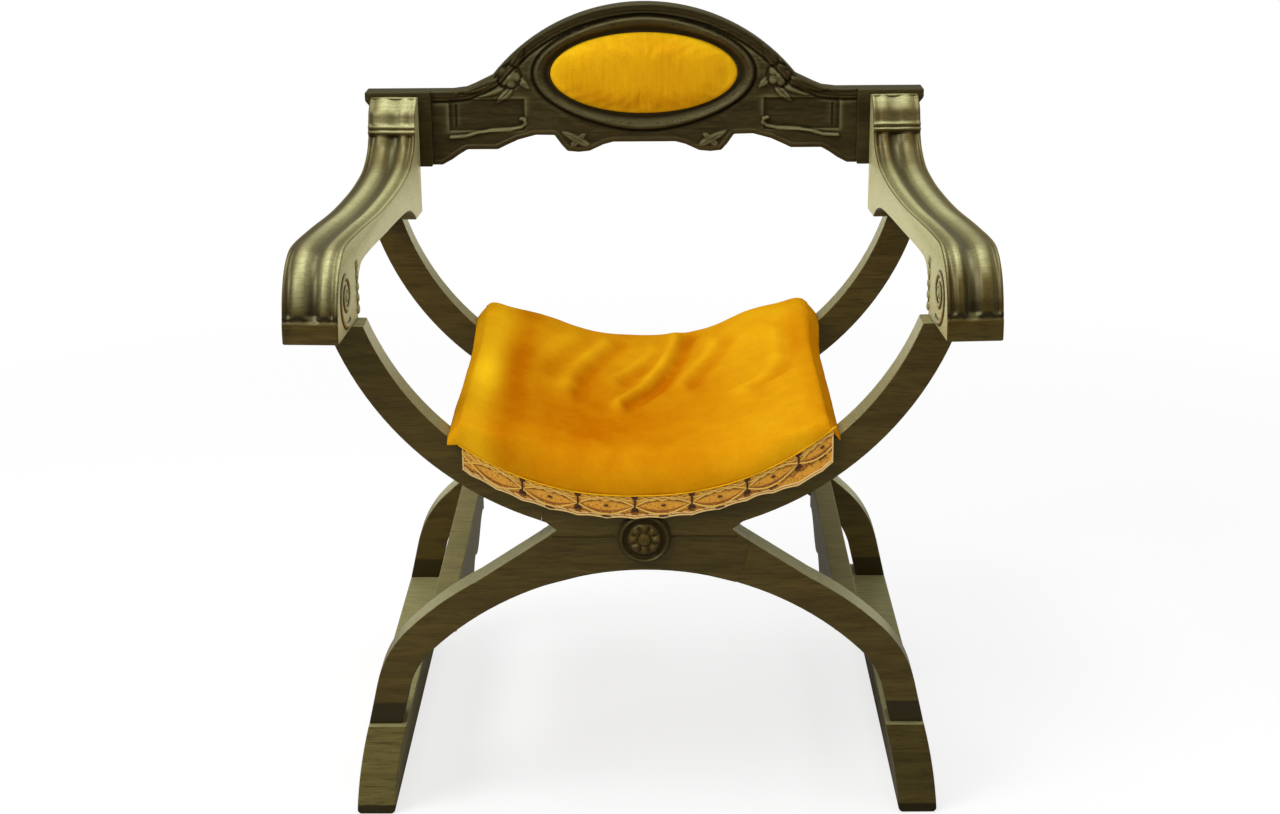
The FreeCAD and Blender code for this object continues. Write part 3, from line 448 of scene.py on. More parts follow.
# Sled runners, side stretchers and seat rails: walnut boards doweled or screwed between the frames, with
# softly eased edges. Each stands on the half of the chair whose leg it belongs to.
BOARDS = [("left_runner", "folding_half", 0.0022), ("right_runner", "fixed_half", 0.0022),
          ("left_stretcher", "folding_half", 0.0016), ("right_stretcher", "fixed_half", 0.0016),
          ("left_seat_rail", "fixed_half", 0.0015), ("right_seat_rail", "folding_half", 0.0015)]
along_y = (0, 0, math.radians(90))
# The left boards are painted lighter and the right boards darker, as lit and shaded copies of one walnut;
# both get painted shade on the chamfer at the foot.
lit_left_walnut = walnut("left_board_lit_walnut", along_y, (0.108, 0.084, 0.0210, 1), (0.185, 0.148, 0.0430, 1),
                     0.34, 1.40, shade_band=CHAMFER_SHADE)
shaded_right_walnut = walnut("right_board_shaded_walnut", along_y, (0.048, 0.032, 0.0060, 1), (0.090, 0.063, 0.0130, 1),
                      0.34, 1.40, shade_band=CHAMFER_SHADE)
# Upward faces get a painted highlight, which is weaker on the stretchers.
for node, body, width in BOARDS:
    dressed(node, from_node(node), lit_left_walnut if node.startswith("left") else shaded_right_walnut, body, width,
            top=("painted_highlight", 0.35 if "stretcher" in node else STAVE_HIGHLIGHT))

# Scroll arms: one walnut baulk each, sawn to the side outline, then reeded along the top with a wide cove
# between two ridges. The reeds stop above a plain band on the roll, and a volute is carved on each cheek.
ARM_SPLAY = math.radians(3.3)
ARM_WIDE, ARM_REACH, ARM_FRONT = 0.056, 0.35396, -0.2694
ARM_BACK, ARM_POST, ARM_FACE, ARM_SEAT = 0.2371, 0.1951, -0.2034, -0.1694
ARM_LEVEL, ARM_FOOT, ARM_REAR_FOOT, ARM_UNDER = 0.630, 0.553, 0.572, 0.052
BLOCK_FRONT, BLOCK_TOP, BLOCK_RISE = 0.2071, 0.711, 0.040
BLOCK_CURVE = [(0.2291, BLOCK_TOP - 0.0004), (0.2279, BLOCK_TOP - 0.0016), (0.2213, 0.7045), (0.2142, 0.6965),
               (0.2118, 0.6895), (0.2098, 0.6835)]
BLOCK_BEADS = [(0.2087, 0.6795), (0.2073, 0.6738)]
RISE = [(0.0, 1.0), (0.03, 0.62), (0.10, 0.26), (0.20, 0.10), (0.33, 0.02), (0.55, 0.03), (0.80, 0.18),
        (1.0, 0.25)]
ROLL = [(0.0, 0.13), (0.42, 0.05), (0.72, -0.15), (0.90, -0.43), (0.98, -0.73), (1.0, -1.0)]
ROLL_DROP = 0.077
UNDER = [(0.0, 0.0), (0.02, 0.55), (0.05, 0.86), (0.13, 1.0), (0.45, 0.93), (0.80, 0.82), (0.92, 0.66)]
REEDS = [(0.0, 0.0024), (0.02, 0.0012), (0.05, 0.0015), (0.09, 0.0030), (0.14, 0.0024), (0.19, 0.0010),
         (0.24, 0.0002), (0.285, 0.0), (0.33, 0.0003), (0.38, 0.0013), (0.43, 0.0032), (0.49, 0.0050),
         (0.55, 0.0055), (0.61, 0.0048), (0.66, 0.0028), (0.70, 0.0009), (0.74, 0.0001), (0.765, 0.0),
         (0.80, 0.0004), (0.84, 0.0020), (0.875, 0.0032), (0.91, 0.0026), (0.94, 0.0010), (0.965, 0.0002),
         (0.98, 0.0004), (1.0, 0.0018)]
REED_END, REED_SCOOP, REED_GROOVE = 0.5765, 0.0030, 0.5762
ARM_COLUMNS = 97
# Painted highlight on the arms: pale paint on upward faces, on the cheeks and on the block top, set per side
# as lit and shaded copies of one finish, stronger on the left arm.
ARM_HIGHLIGHT, HIGHLIGHT_TURN = {-1: 0.22, 1: 0.0}, {-1: (0.10, 0.75), 1: (0.46, 0.90)}
ARM_HIGHLIGHT_FULL, FLANK_SHADE = 1.75, {-1: 0.34, 1: 0.0}
CHEEK_HIGHLIGHT, BLOCK_HIGHLIGHT = 1.60, {-1: 0.06, 1: 0.12}
VOLUTE_MIDDLE, VOLUTE_OUTER, VOLUTE_INNER, VOLUTE_TURNS = (-0.2235, 0.5905), 0.0325, 0.0075, 1.75
VOLUTE_RIDGE, VOLUTE_EYE, VOLUTE_SKIN, VOLUTE_HIGHLIGHT = 0.0026, 0.0062, 0.0008, 1.1
BEADS, BEAD_RADIUS, BEAD_STEP, BEAD_LINE, BEAD_LOW = 5, 0.0052, 0.0118, ARM_SEAT + 0.0015, 0.5625
BEAD_LEAN, BEAD_FLAT, BEAD_CUT, BEAD_CUT_DEEP = 0.0035, 0.42, (0.5590, 0.6135), 0.0062
CUT_RADIUS, CUT_DEEP, CUT_SHADE = 0.0072, 0.0058, 0.85


def through(points, steps):
    """A smooth line through the points, with the given number of steps between neighbours."""
    points = np.array(points, float)
    ends = np.vstack([2 * points[0] - points[1], points, 2 * points[-1] - points[-2]])
    line = []
    for a, b, c, d in zip(ends, ends[1:], ends[2:], ends[3:]):
        for t in np.linspace(0, 1, steps, endpoint=False):
            line.append(0.5 * (2 * b + (c - a) * t + (2 * a - 5 * b + 4 * c - d) * t ** 2
                               + (3 * b - a - 3 * c + d) * t ** 3))
    line.append(points[-1])
    return np.array(line)


def smooth_step(value, low, high):
    """A value's share of the way from low to high, held at both ends and eased into them."""
    share = np.clip((value - low) / (high - low), 0, 1)
    return share * share * (3 - 2 * share)


def on_arm(side, across, depth, high):
    """A point of the arm by its place across it, its depth and its height, on the splayed arm."""
    back = depth - ARM_FRONT
    return (side * (ARM_REACH - across * math.cos(ARM_SPLAY) - back * math.sin(ARM_SPLAY)),
            ARM_FRONT - across * math.sin(ARM_SPLAY) + back * math.cos(ARM_SPLAY), high)


def grown(name, lines, radius, sides, paint):
    """A new object with a round bead along every polyline, from the node tree below."""
    points, edges = [], []
    for line in lines:
        edges += [(len(points) + i, len(points) + i + 1) for i in range(len(line) - 1)]
        points += [tuple(p) for p in line]
    obj = linked(name, meshed(name, points, [], edges))
    work = obj.modifiers.new("grown", "NODES")
    work.node_group = bead_tree
    values = {"Radius": radius, "Sides": sides, "Finish": paint}
    for item in bead_tree.interface.items_tree:
        if item.item_type == "SOCKET" and item.in_out == "INPUT" and item.name in values:
            work[item.identifier] = values[item.name]
    obj.data = baked(obj)
    return obj


def volute(side, across):
    """The spiral of a cheek as a line across the arm at the given place."""
    turns = np.linspace(0, 1, 90)
    radii = VOLUTE_OUTER * (VOLUTE_INNER / VOLUTE_OUTER) ** turns
    angles = math.radians(-60) - math.tau * VOLUTE_TURNS * turns
    return [on_arm(side, across, VOLUTE_MIDDLE[0] + r * math.cos(a), VOLUTE_MIDDLE[1] + r * math.sin(a))
            for r, a in zip(radii, angles)]


bead_tree, given, result = node_group(
    "carved_bead", "Geometry",
    [("Geometry", "Geometry"), ("Radius", "Float", 0.001), ("Sides", "Int", 8), ("Finish", "Material")],
    [("Geometry", "Geometry")])
path = wired(bead_tree, "MeshToCurve", {0: given["Geometry"]})
ring = wired(bead_tree, "CurvePrimitiveCircle", {"Resolution": given["Sides"], "Radius": given["Radius"]})
tube = wired(bead_tree, "CurveToMesh", {"Curve": path[0], "Profile Curve": ring[0],
                                        "Fill Caps": True})
soft = wired(bead_tree, "SetShadeSmooth", {0: tube[0]})
real = wired(bead_tree, "RealizeInstances", {0: soft[0]})
coat = wired(bead_tree, "SetMaterial", {0: real[0], "Material": given["Finish"]})
plugged(bead_tree, result, {0: coat[0]})

rise_length = BLOCK_FRONT - ARM_FACE
top_line = [(BLOCK_FRONT - rise_length * a, ARM_LEVEL + BLOCK_RISE * b) for a, b in RISE]
top_line += [(ARM_FACE + (ARM_FRONT - ARM_FACE) * a, ARM_LEVEL + ROLL_DROP * b) for a, b in ROLL[1:]]
top_line = through(top_line, 16)
block_line = through(BLOCK_CURVE, 3)
beads = [(y - 0.0022 * math.sin(a), z + 0.0024 * math.cos(a))
         for y, z in BLOCK_BEADS for a in np.linspace(0.15, math.pi - 0.15, 7)]
under_line = [(ARM_SEAT + (ARM_POST - ARM_SEAT) * a, ARM_FOOT + ARM_UNDER * b) for a, b in UNDER]
under_line = through(under_line + [(ARM_POST, ARM_REAR_FOOT)], 5)
front_line = [p for p in top_line[1:] if p[1] > ARM_FOOT + 0.0022] + [(ARM_FRONT + 0.0003, ARM_FOOT + 0.0012)]
foot_line = [(ARM_FRONT + 0.0012, ARM_FOOT), (ARM_SEAT - 0.05, ARM_FOOT), (ARM_SEAT - 0.02, ARM_FOOT)]
rear_line = [(ARM_BACK - 0.001, ARM_REAR_FOOT), (ARM_BACK, ARM_REAR_FOOT + 0.001),
             (ARM_BACK, BLOCK_TOP - 0.001), (ARM_BACK - 0.001, BLOCK_TOP)]
outline = np.vstack([block_line, beads, front_line, foot_line, under_line, rear_line])
reeded = len(block_line) + len(beads) + len(front_line)
ahead = np.roll(outline, -1, 0) - np.roll(outline, 1, 0)
inward = np.stack([-ahead[:, 1], ahead[:, 0]], 1) / np.linalg.norm(ahead, axis=1)[:, None]
heights, depths = outline[:, 1], outline[:, 0]
on_roll = (depths < ARM_FACE) & (np.arange(len(outline)) < reeded)
reed_line = through(REEDS, 6)
across = np.linspace(0, 1, ARM_COLUMNS)
reed_depth = np.interp(across, reed_line[:, 0], reed_line[:, 1])
for name, side, body in (("left", -1, "fixed_half"), ("right", 1, "folding_half")):
    points, shade_and_patina, highlight_reach = [], [], []
    for u, deep in zip(across, reed_depth):
        stop = np.zeros(len(outline))
        stop[:reeded] = 1.0
        foot = REED_END - REED_SCOOP * deep / 0.005
        stop[on_roll] = smooth_step(heights[on_roll], foot, foot + 0.0090)
        stop[:len(block_line)] = 0.45
        stop[len(block_line):len(block_line) + len(beads)] = 0.12
        stop[0] = 0.1
        groove = np.where(on_roll, bell(heights, REED_GROOVE, 0.0016), 0)
        ring = outline + inward * (deep * stop + 0.0012 * groove)[:, None]
        edge = min(u, 1 - u) * ARM_WIDE
        ring = ring + inward * (0.0011 * (1 - smooth_step(edge, 0, 0.0014)) * (1 - stop))[:, None]
        points += [on_arm(side, ARM_WIDE * u, y, z) for y, z in ring]
        # Painted shade, with patina, deeper in the reed coves and along the line where the reeds end; painted
        # shade on the left arm's outer reeds.
        end_shade = np.where(on_roll, bell(heights, REED_GROOVE + 0.003, 0.0035), 0)
        flank_shade = FLANK_SHADE[side] * (1 - smooth_step(u, 0.06, 0.26))
        shade_and_patina += [min(0.95, flank_shade + d / 0.0055) for d in deep * stop + 0.0055 * end_shade]
        # Where the painted highlight reaches: less by the outer edge, none on the plain band, little under
        # the block.
        above_band = np.where(on_roll, smooth_step(heights, REED_GROOVE + 0.002, REED_GROOVE + 0.016), 1)
        under_block = 1 - 0.85 * smooth_step(heights, 0.631, 0.646) * (heights < 0.6715)
        highlight_reach += list((0.15 + 0.85 * smooth_step(u, 0.10, 0.32)) * above_band * under_block)
    count = len(outline)
    mesh = meshed(name + "_arm_carved", points, lathe_faces(ARM_COLUMNS, count)
                  + [tuple(range(count)), tuple(range((ARM_COLUMNS - 1) * count, ARM_COLUMNS * count))])
    outward(mesh)
    mesh.set_sharp_from_angle(angle=math.radians(40))
    spread = ARM_HIGHLIGHT_FULL - ARM_HIGHLIGHT[side]
    # Painted highlight: paler where faces turn up, less where painted shade lies, and added on the block top.
    painted_highlight = [(ARM_HIGHLIGHT[side] + spread * smooth_step(v.normal.z, *HIGHLIGHT_TURN[side])) * (1 - sunk) * part
             + BLOCK_HIGHLIGHT[side] * smooth_step(v.co.z, 0.668, 0.680)
             for v, sunk, part in zip(mesh.vertices, shade_and_patina, highlight_reach)]
    # The cheeks get a strong painted highlight and no painted shade.
    for label, values, cheek in (("shade_and_patina", shade_and_patina, 0.0), ("painted_highlight", painted_highlight, CHEEK_HIGHLIGHT)):
        marked(mesh, label, "CORNER", [cheek if len(p.vertices) > 4 else values[v]
                                       for p in mesh.polygons for v in p.vertices])
    arm_walnut = walnut(name + "_arm_walnut", (0, 0, math.radians(90) - side * ARM_SPLAY), smooth=0.30)
    mesh.materials.append(arm_walnut)
    piece = linked(name + "_arm_carved", mesh)
    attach(piece, body)
    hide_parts(name + "_arm")
    # Dark tubes sunk into each cheek under the volute and the beads, painted as the shade round the carving.
    cuts = [volute(side, u) for u in (CUT_DEEP, ARM_WIDE - CUT_DEEP)]
    cuts += [[on_arm(side, u, BEAD_LINE, z) for z in np.linspace(*BEAD_CUT, 12)]
             for u in (BEAD_CUT_DEEP, ARM_WIDE - BEAD_CUT_DEEP)]
    shade_tubes = grown(name + "_arm_volute_shade", cuts, CUT_RADIUS, 16, arm_walnut)
    marked(shade_tubes.data, "shade_and_patina", "POINT", [CUT_SHADE] * len(shade_tubes.data.vertices))
    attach(shade_tubes, body)
    lines = [volute(side, u) for u in (VOLUTE_SKIN, ARM_WIDE - VOLUTE_SKIN)]
    scroll = grown(name + "_arm_volutes", lines, VOLUTE_RIDGE, 12, arm_walnut)
    spots = [(VOLUTE_MIDDLE, VOLUTE_EYE)]
    spots += [((BEAD_LINE + BEAD_LEAN * (k / BEADS) ** 3, BEAD_LOW + BEAD_STEP * k), BEAD_RADIUS)
              for k in range(BEADS)]
    with opened(scroll.data) as shape:
        for cheek, ((y, z), radius) in itertools.product((0.0, ARM_WIDE), spots):
            place = Matrix.Translation(on_arm(side, cheek, y, z)) @ Matrix.Diagonal((BEAD_FLAT, 1, 1, 1))
            bmesh.ops.create_uvsphere(shape, u_segments=20, v_segments=12, radius=radius, matrix=place)
    outward(scroll.data)
    painted(scroll.data, arm_walnut)
    # The volutes and beads are painted pale, as a painted highlight.
    marked(scroll.data, "painted_highlight", "POINT", [VOLUTE_HIGHLIGHT] * len(scroll.data.vertices))
    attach(scroll, body)

# The back: a walnut board with square ends behind the arms, sawn to a round top and a scalloped foot.
# Its ground is carved between the ends: edge moulding, oval frame, flowers with leaves, long panels.
BOARD_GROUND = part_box("crest_moulding")[1].y
CARVE_HALF = 0.2543
SHOULDER, TOP, FOOT, REACH = 0.716, 0.818, 0.626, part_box("crest_rail")[1].x
FOOT_SHARES = [(0.0, 0.295), (0.112, 0.295), (0.148, 0.26), (0.198, 0.175), (0.238, 0.16), (0.278, 0.175),
               (0.299, 0.26), (0.324, 0.39), (0.392, 0.395), (0.457, 0.33), (0.493, 0.27), (0.53, 0.205),
               (0.64, 0.205), (0.67, 0.14), (0.697, 0.07), (0.733, 0.0), (1.0, 0.0)]
ARCH_JOIN, ARCH_HIP = 0.545, 0.0164
HIP = [(0.545, 0.161), (0.61, 0.06), (0.64, 0.02), (0.69, 0.0), (1.0, 0.0)]
OVAL_MIDDLE, OVAL_WIDE, OVAL_HIGH, OVAL_TURNS = 0.7354, 0.1125, 0.0485, 144
OVAL_ROOM, CARVING_BACK, SMOOTHINGS = 0.0003, 0.0012, 24
COLUMNS, ROWS, GROUND_RISE = 440, 120, 0.0030
LEAVES = [(0.168, 0.7285, 0.214, 0.7135, 0.0062, 0.0030), (0.164, 0.7225, 0.199, 0.7085, 0.0058, 0.0025),
          (0.157, 0.7190, 0.176, 0.7010, 0.0050, 0.0022), (0.158, 0.7400, 0.142, 0.7680, 0.0056, 0.0028),
          (0.165, 0.7400, 0.166, 0.7600, 0.0046, 0.0024), (0.150, 0.7300, 0.137, 0.7180, 0.0042, 0.0018),
          (0.186, 0.7270, 0.226, 0.7125, 0.0040, 0.0020), (0.066, 0.6485, 0.099, 0.6660, 0.0050, 0.0020),
          (0.088, 0.6480, 0.070, 0.6640, 0.0045, 0.0018)]
FLOWER_X, FLOWER_Z, FLOWER_RADIUS, FLOWER_BUTTON = 0.161, 0.732, 0.0140, 0.0042
PANEL_BEAD = [(0.232, 0.6600), (0.215, 0.6612), (0.200, 0.6655), (0.185, 0.6680), (0.160, 0.6690),
              (0.147, 0.6715), (0.1425, 0.6760), (0.1435, 0.6805), (0.1475, 0.6815)]

wide = np.linspace(-CARVE_HALF, CARVE_HALF, COLUMNS)
share = np.abs(wide) / REACH
low_edge = FOOT + (SHOULDER - FOOT) * np.interp(share, *zip(*FOOT_SHARES))
join = REACH * ARCH_JOIN
arch_high = TOP - SHOULDER - ARCH_HIP
arch_round = (join ** 2 + arch_high ** 2) / (2 * arch_high)
arch = TOP - arch_round + np.sqrt(np.maximum(arch_round ** 2 - wide ** 2, 0))
hips = SHOULDER + (TOP - SHOULDER) * np.interp(share, *zip(*HIP))
high_edge = np.where(np.abs(wide) < join, arch, hips)
X = np.repeat(wide[:, None], ROWS, 1)
rise = np.linspace(0, 1, ROWS)[None, :]
Z = (low_edge + 0.0006)[:, None] * (1 - rise) + (high_edge - 0.0006)[:, None] * rise


def far_from(line):
    """Distance of every carved point from a polyline given as dense points."""
    best = np.full(X.shape, 1.0)
    for px, pz in line:
        best = np.minimum(best, np.hypot(X - px, Z - pz))
    return best


def dense(points, step=0.0008):
    """Points along straight runs between the given corners."""
    line = []
    for (ax, az), (bx, bz) in zip(points, points[1:]):
        count = max(2, int(math.hypot(bx - ax, bz - az) / step))
        line += [(ax + (bx - ax) * t, az + (bz - az) * t) for t in np.linspace(0, 1, count, endpoint=False)]
    return line + [points[-1]]


def ridge(distance, half, high):
    """A half-round bead of the given half width and height along a line."""
    return high * np.sqrt(np.clip(1 - (distance / half) ** 2, 0, 1))


from_top = far_from(dense(list(zip(wide[::4], high_edge[::4]))))
from_foot = far_from(dense(list(zip(wide[::3], low_edge[::3]))))
oval = np.hypot(X / OVAL_WIDE, (Z - OVAL_MIDDLE) / OVAL_HIGH)
from_oval = (oval - 1) * np.hypot(X, Z - OVAL_MIDDLE) / np.maximum(oval, 0.05)
lift = np.full(X.shape, GROUND_RISE)
lift += 0.0022 * (1 - smooth_step(from_top, 0.0075, 0.0095)) + ridge(from_top - 0.0105, 0.0016, 0.0014)
lift -= 0.0018 * bell(from_top, 0.0135, 0.0016)
lift -= 0.0016 * (1 - smooth_step(from_top, 0.0, 0.0022)) + 0.0014 * (1 - smooth_step(from_foot, 0.0, 0.0020))
lift += ridge(from_foot - 0.0050, 0.0017, 0.0009)
frame_band = 1 - smooth_step(from_oval, 0.0178, 0.0192)
cove = 0.0012 + 0.0050 * smooth_step(from_oval, 0.002, 0.0125) ** 1.6
bead = ridge(from_oval - 0.0152, 0.0026, 0.0028) + 0.0052
frame_lift = np.where(from_oval > 0.0125, np.maximum(bead, 0.0050), cove)
lift = lift * (1 - frame_band) + frame_lift * frame_band
lift -= 0.0020 * bell(from_oval, 0.0206, 0.0014)


def leaf(root_x, root_z, tip_x, tip_z, half, high):
    """Height of a pointed leaf with a sunk vein, carved from its root to its tip."""
    run_x, run_z = tip_x - root_x, tip_z - root_z
    long = math.hypot(run_x, run_z)
    along = ((X - root_x) * run_x + (Z - root_z) * run_z) / long / long
    off = np.abs((X - root_x) * run_z - (Z - root_z) * run_x) / long
    spread = half * np.sin(math.pi * np.clip(along, 0, 1) ** 0.75) ** 0.7
    dome = np.clip(1 - (off / np.maximum(spread, 1e-5)) ** 2, 0, 1)
    inside = (along > 0) & (along < 1)
    return np.where(inside, high * dome ** 0.6 - 0.0009 * bell(off, 0, 0.0008) * (dome > 0.1), 0)


for side in (-1, 1):
    sprig = np.zeros(X.shape)
    for root_x, root_z, tip_x, *shape in LEAVES:
        sprig = np.maximum(sprig, leaf(side * root_x, root_z, side * tip_x, *shape))
    away = np.hypot(X - side * FLOWER_X, Z - FLOWER_Z)
    turn = np.arctan2(Z - FLOWER_Z, X - side * FLOWER_X)
    petals = 0.66 + 0.34 * np.abs(np.cos(2.5 * turn)) ** 0.8
    flower = 0.0031 * np.clip(1 - (away / (FLOWER_RADIUS * petals)) ** 2, 0, 1) ** 0.5
    flower = np.where(away < FLOWER_BUTTON, 0.0024 + ridge(away, FLOWER_BUTTON, 0.0014), flower)
    sprig = np.where(away < FLOWER_RADIUS + 0.0005, flower, sprig)
    lift += sprig - 0.0011 * bell(away, FLOWER_RADIUS + 0.0010, 0.0013)
    bar = bell(side * X, 0.2253, 0.0011)
    lift -= 0.0014 * bar * smooth_step(Z, 0.670, 0.673) * (1 - smooth_step(Z, 0.6985, 0.7005))
    lift -= 0.0016 * (smooth_step(side * X, 0.142, 0.1445) * (1 - smooth_step(side * X, 0.2325, 0.2350))
                      * smooth_step(Z, 0.6665, 0.6685) * (1 - smooth_step(Z, 0.7045, 0.7065)))
    lift += ridge(far_from(dense([(side * x, z) for x, z in PANEL_BEAD])), 0.0021, 0.0026)
marks = [[noise.noise(Vector((x * 90, 0, z * 260))) for z in row] for x, row in zip(wide, Z)]
lift += 0.00012 * np.array(marks)
lift = np.clip(lift, 0.0004, 0.0115)
smoothed = lift.copy()
for _ in range(SMOOTHINGS):
    smoothed[1:-1, 1:-1] = (smoothed[1:-1, 1:-1] * 2 + smoothed[:-2, 1:-1] + smoothed[2:, 1:-1]
                            + smoothed[1:-1, :-2] + smoothed[1:-1, 2:]) / 6
# Painted shade and patina in the recesses and on the low ground, painted shade along the top band, and a
# painted highlight on the ridge tips, less on the oval frame and by the foot.
shade_and_patina = np.clip((smoothed - lift) / 0.0009, 0, 0.95) + np.clip((0.0022 - lift) / 0.004, 0, 0.4)
shade_and_patina = np.clip(shade_and_patina + 0.75 * (1 - smooth_step(from_top, 0.0, 0.0100)), 0, 0.95)
painted_highlight = np.clip((lift - smoothed) / 0.0008, 0, 1) * 0.6 * smooth_step(from_top, 0.010, 0.014)
painted_highlight *= 1 - 0.8 * smooth_step(0.024 - from_oval, 0, 0.002)
painted_highlight *= 0.2 + 0.8 * smooth_step(from_foot, 0.006, 0.009)


def sheet_faces(rows, count):
    """Quads between neighbouring rows of points."""
    return [(a + c, a + c + 1, a + count + c + 1, a + count + c)
            for a in range(0, (rows - 1) * count, count) for c in range(count - 1)]


front = [(x, BOARD_GROUND - l, z) for x, z, l in zip(X.ravel(), Z.ravel(), lift.ravel())]
rear = [(wide[i], BOARD_GROUND + CARVING_BACK, z) for i in range(COLUMNS) for z in (Z[i, 0], Z[i, -1])]
faces = sheet_faces(COLUMNS, ROWS)
base = COLUMNS * ROWS
for i in range(COLUMNS - 1):
    a, b = base + 2 * i, base + 2 * i + 2
    faces.append((a, b, b + 1, a + 1))
    faces.append((i * ROWS, (i + 1) * ROWS, b, a))
    faces.append(((i + 1) * ROWS - 1, a + 1, b + 1, (i + 2) * ROWS - 1))
faces.append(tuple(range(ROWS)) + (base + 1, base))
last = (COLUMNS - 1) * ROWS
faces.append(tuple(range(last, last + ROWS)) + (base + 2 * COLUMNS - 1, base + 2 * COLUMNS - 2))
carving = meshed("back_carving", front + rear, faces)
for label, values in (("shade_and_patina", shade_and_patina), ("painted_highlight", painted_highlight)):
    marked(carving, label, "POINT", np.concatenate([values.ravel(), np.zeros(2 * COLUMNS)]))
outward(carving)


def oval_ring(wide, high, y):
    """Points round an oval about the pad's middle."""
    return [(wide * math.cos(a), y, OVAL_MIDDLE + high * math.sin(a))
            for a in circle(OVAL_TURNS)]


points = [p for y in (-0.02, 0.02)
          for p in oval_ring(OVAL_WIDE + OVAL_ROOM, OVAL_HIGH + OVAL_ROOM, BOARD_GROUND + y)]
tool = meshed("oval_cutter", points, lathe_faces(2, OVAL_TURNS)
              + [tuple(range(OVAL_TURNS)), tuple(range(OVAL_TURNS, 2 * OVAL_TURNS))])
outward(tool, 1e-6)
carving = cut_away(carving, tool)
carving.shade_smooth()
carving.set_sharp_from_angle(angle=math.radians(48))
back_walnut = walnut("back_walnut", (0, 0, 0), (0.029, 0.0210, 0.0072, 1), (0.058, 0.0440, 0.0145, 1),
                     0.38, 1.32, 0.04)
painted(carving, back_walnut)
piece = linked("back_carving", carving)
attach(piece, "back")
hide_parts("crest_moulding", "crest_flowers")
# The rail's upward faces are painted dark, as painted shade.
dressed("crest_rail", from_node("crest_rail"), back_walnut, "back", 0.0014, top=("shade_and_patina", 0.9))

# The oval pad: orange-yellow cotton velvet drawn tight over a little stuffing and tacked round a thin
# board. Its sides pull in at the back, the nap runs upright, and it is painted paler towards the rim.
PAD_FRONT, PAD_BACK = BOARD_GROUND - 0.0085, BOARD_GROUND + 0.009
PAD_RINGS = [(1.0, 0.0), (1.0, 0.28), (0.998, 0.42), (0.988, 0.56), (0.966, 0.68), (0.93, 0.77), (0.87, 0.85),
             (0.78, 0.91), (0.66, 0.955), (0.52, 0.98), (0.36, 0.993), (0.18, 1.0), (0.0, 1.0)]
VELVET_DEEP, VELVET_BRIGHT = (0.50, 0.142, 0.0004, 1), (1.0, 0.61, 0.012, 1)
SHEEN_TINT = (1.0, 0.70, 0.03, 1)
PAD_TACKED, PAD_PRESSURE, PAD_STEPS, PAD_SWELL, PAD_MASS, PAD_SLACK = 4, 4.0, 20, 0.0030, 0.2, -0.015
PAD_RIPPLE, PAD_RIPPLES = 0.0003, 31

nap, given, result = node_group(
    "velvet_nap", "Shader",
    [("Vector", "Vector"), ("Streaks", "Vector"), ("Brushed", "Float", 0.4), ("Mottle", "Float", 0.3),
     ("Deep", "Color", VELVET_DEEP), ("Bright", "Color", VELVET_BRIGHT)],
    [("Colour", "Color"), ("Height", "Float")])
cloud = clouded(nap, given["Vector"], 11.0, 3.0, Roughness=0.5, Distortion=0.3)
streak = clouded(nap, given["Streaks"], 5.0, 5.0, Roughness=0.7)
thread = clouded(nap, given["Vector"], 900.0, 2.0)
unrest = maths(nap, "SUBTRACT", maths(nap, "ADD", cloud, streak), 1.0)
spread = maths(nap, "MULTIPLY_ADD", unrest, given["Mottle"], given["Brushed"], use_clamp=True)
tone = mixed(nap, spread, given["Deep"], given["Bright"])
tone = mixed(nap, 1.0, tone, ranged(nap, thread, 0.3, 0.7, 0.90, 1.05), blend_type="MULTIPLY")
plugged(nap, result, {"Colour": tone, "Height": maths(nap, "ADD", thread, streak)})


def velvet(name, streak_scale, mottle):
    """Short-piled velvet with soft streaks, its colour set from deep to bright by an attribute holding the
    cloth's tone with painted highlight and painted shade.
    """
    paint, tree, shader, place = new_paint(name)
    stretch = wired(tree, "Mapping", {"Vector": place, "Scale": streak_scale})
    laid = wired(tree, "Attribute", attribute_name="tone_and_painted_light")
    look = wired(tree, "Group", {"Vector": place, "Streaks": stretch[0], "Brushed": laid["Fac"],
                                 "Mottle": mottle}, node_tree=nap)
    relief = wired(tree, "Bump", {"Strength": 0.35, "Distance": 0.0004, "Height": look["Height"]})
    plugged(tree, shader, {"Base Color": look["Colour"], "Normal": relief[0], "Roughness": 0.8,
                           "Sheen Weight": 0.12, "Sheen Roughness": 0.3, "Sheen Tint": SHEEN_TINT,
                           "Specular IOR Level": 0.0})
    return paint


points = []
for inset, out in PAD_RINGS:
    ripple = PAD_RIPPLE * bell(inset, 0.95, 0.05) * np.sin(PAD_RIPPLES * circle(OVAL_TURNS))
    ring = oval_ring(OVAL_WIDE * inset, OVAL_HIGH * inset, PAD_BACK - (PAD_BACK - PAD_FRONT) * out)
    points += [(x, y + wave, z) for (x, y, z), wave in zip(ring, ripple)]
points += [(0, PAD_BACK, OVAL_MIDDLE)] * OVAL_TURNS
rings = len(PAD_RINGS)
faces = lathe_faces(rings, OVAL_TURNS)
faces += [(rings * OVAL_TURNS + t, rings * OVAL_TURNS + (t + 1) % OVAL_TURNS, (t + 1) % OVAL_TURNS, t)
          for t in range(OVAL_TURNS)]
mesh = meshed("pad_velvet", points, faces)
outward(mesh, 1e-6)
pad = linked("pad_velvet", mesh)
held = pad.vertex_groups.new(name="tacked")
tacked = PAD_BACK - (PAD_BACK - PAD_FRONT) * PAD_RINGS[PAD_TACKED - 1][1]
held.add([v.index for v in mesh.vertices if v.co.y > tacked - 0.0004], 1.0, "REPLACE")
cloth = pad.modifiers.new("stuffing", "CLOTH")
cloth.settings.quality, cloth.settings.mass = 6, PAD_MASS
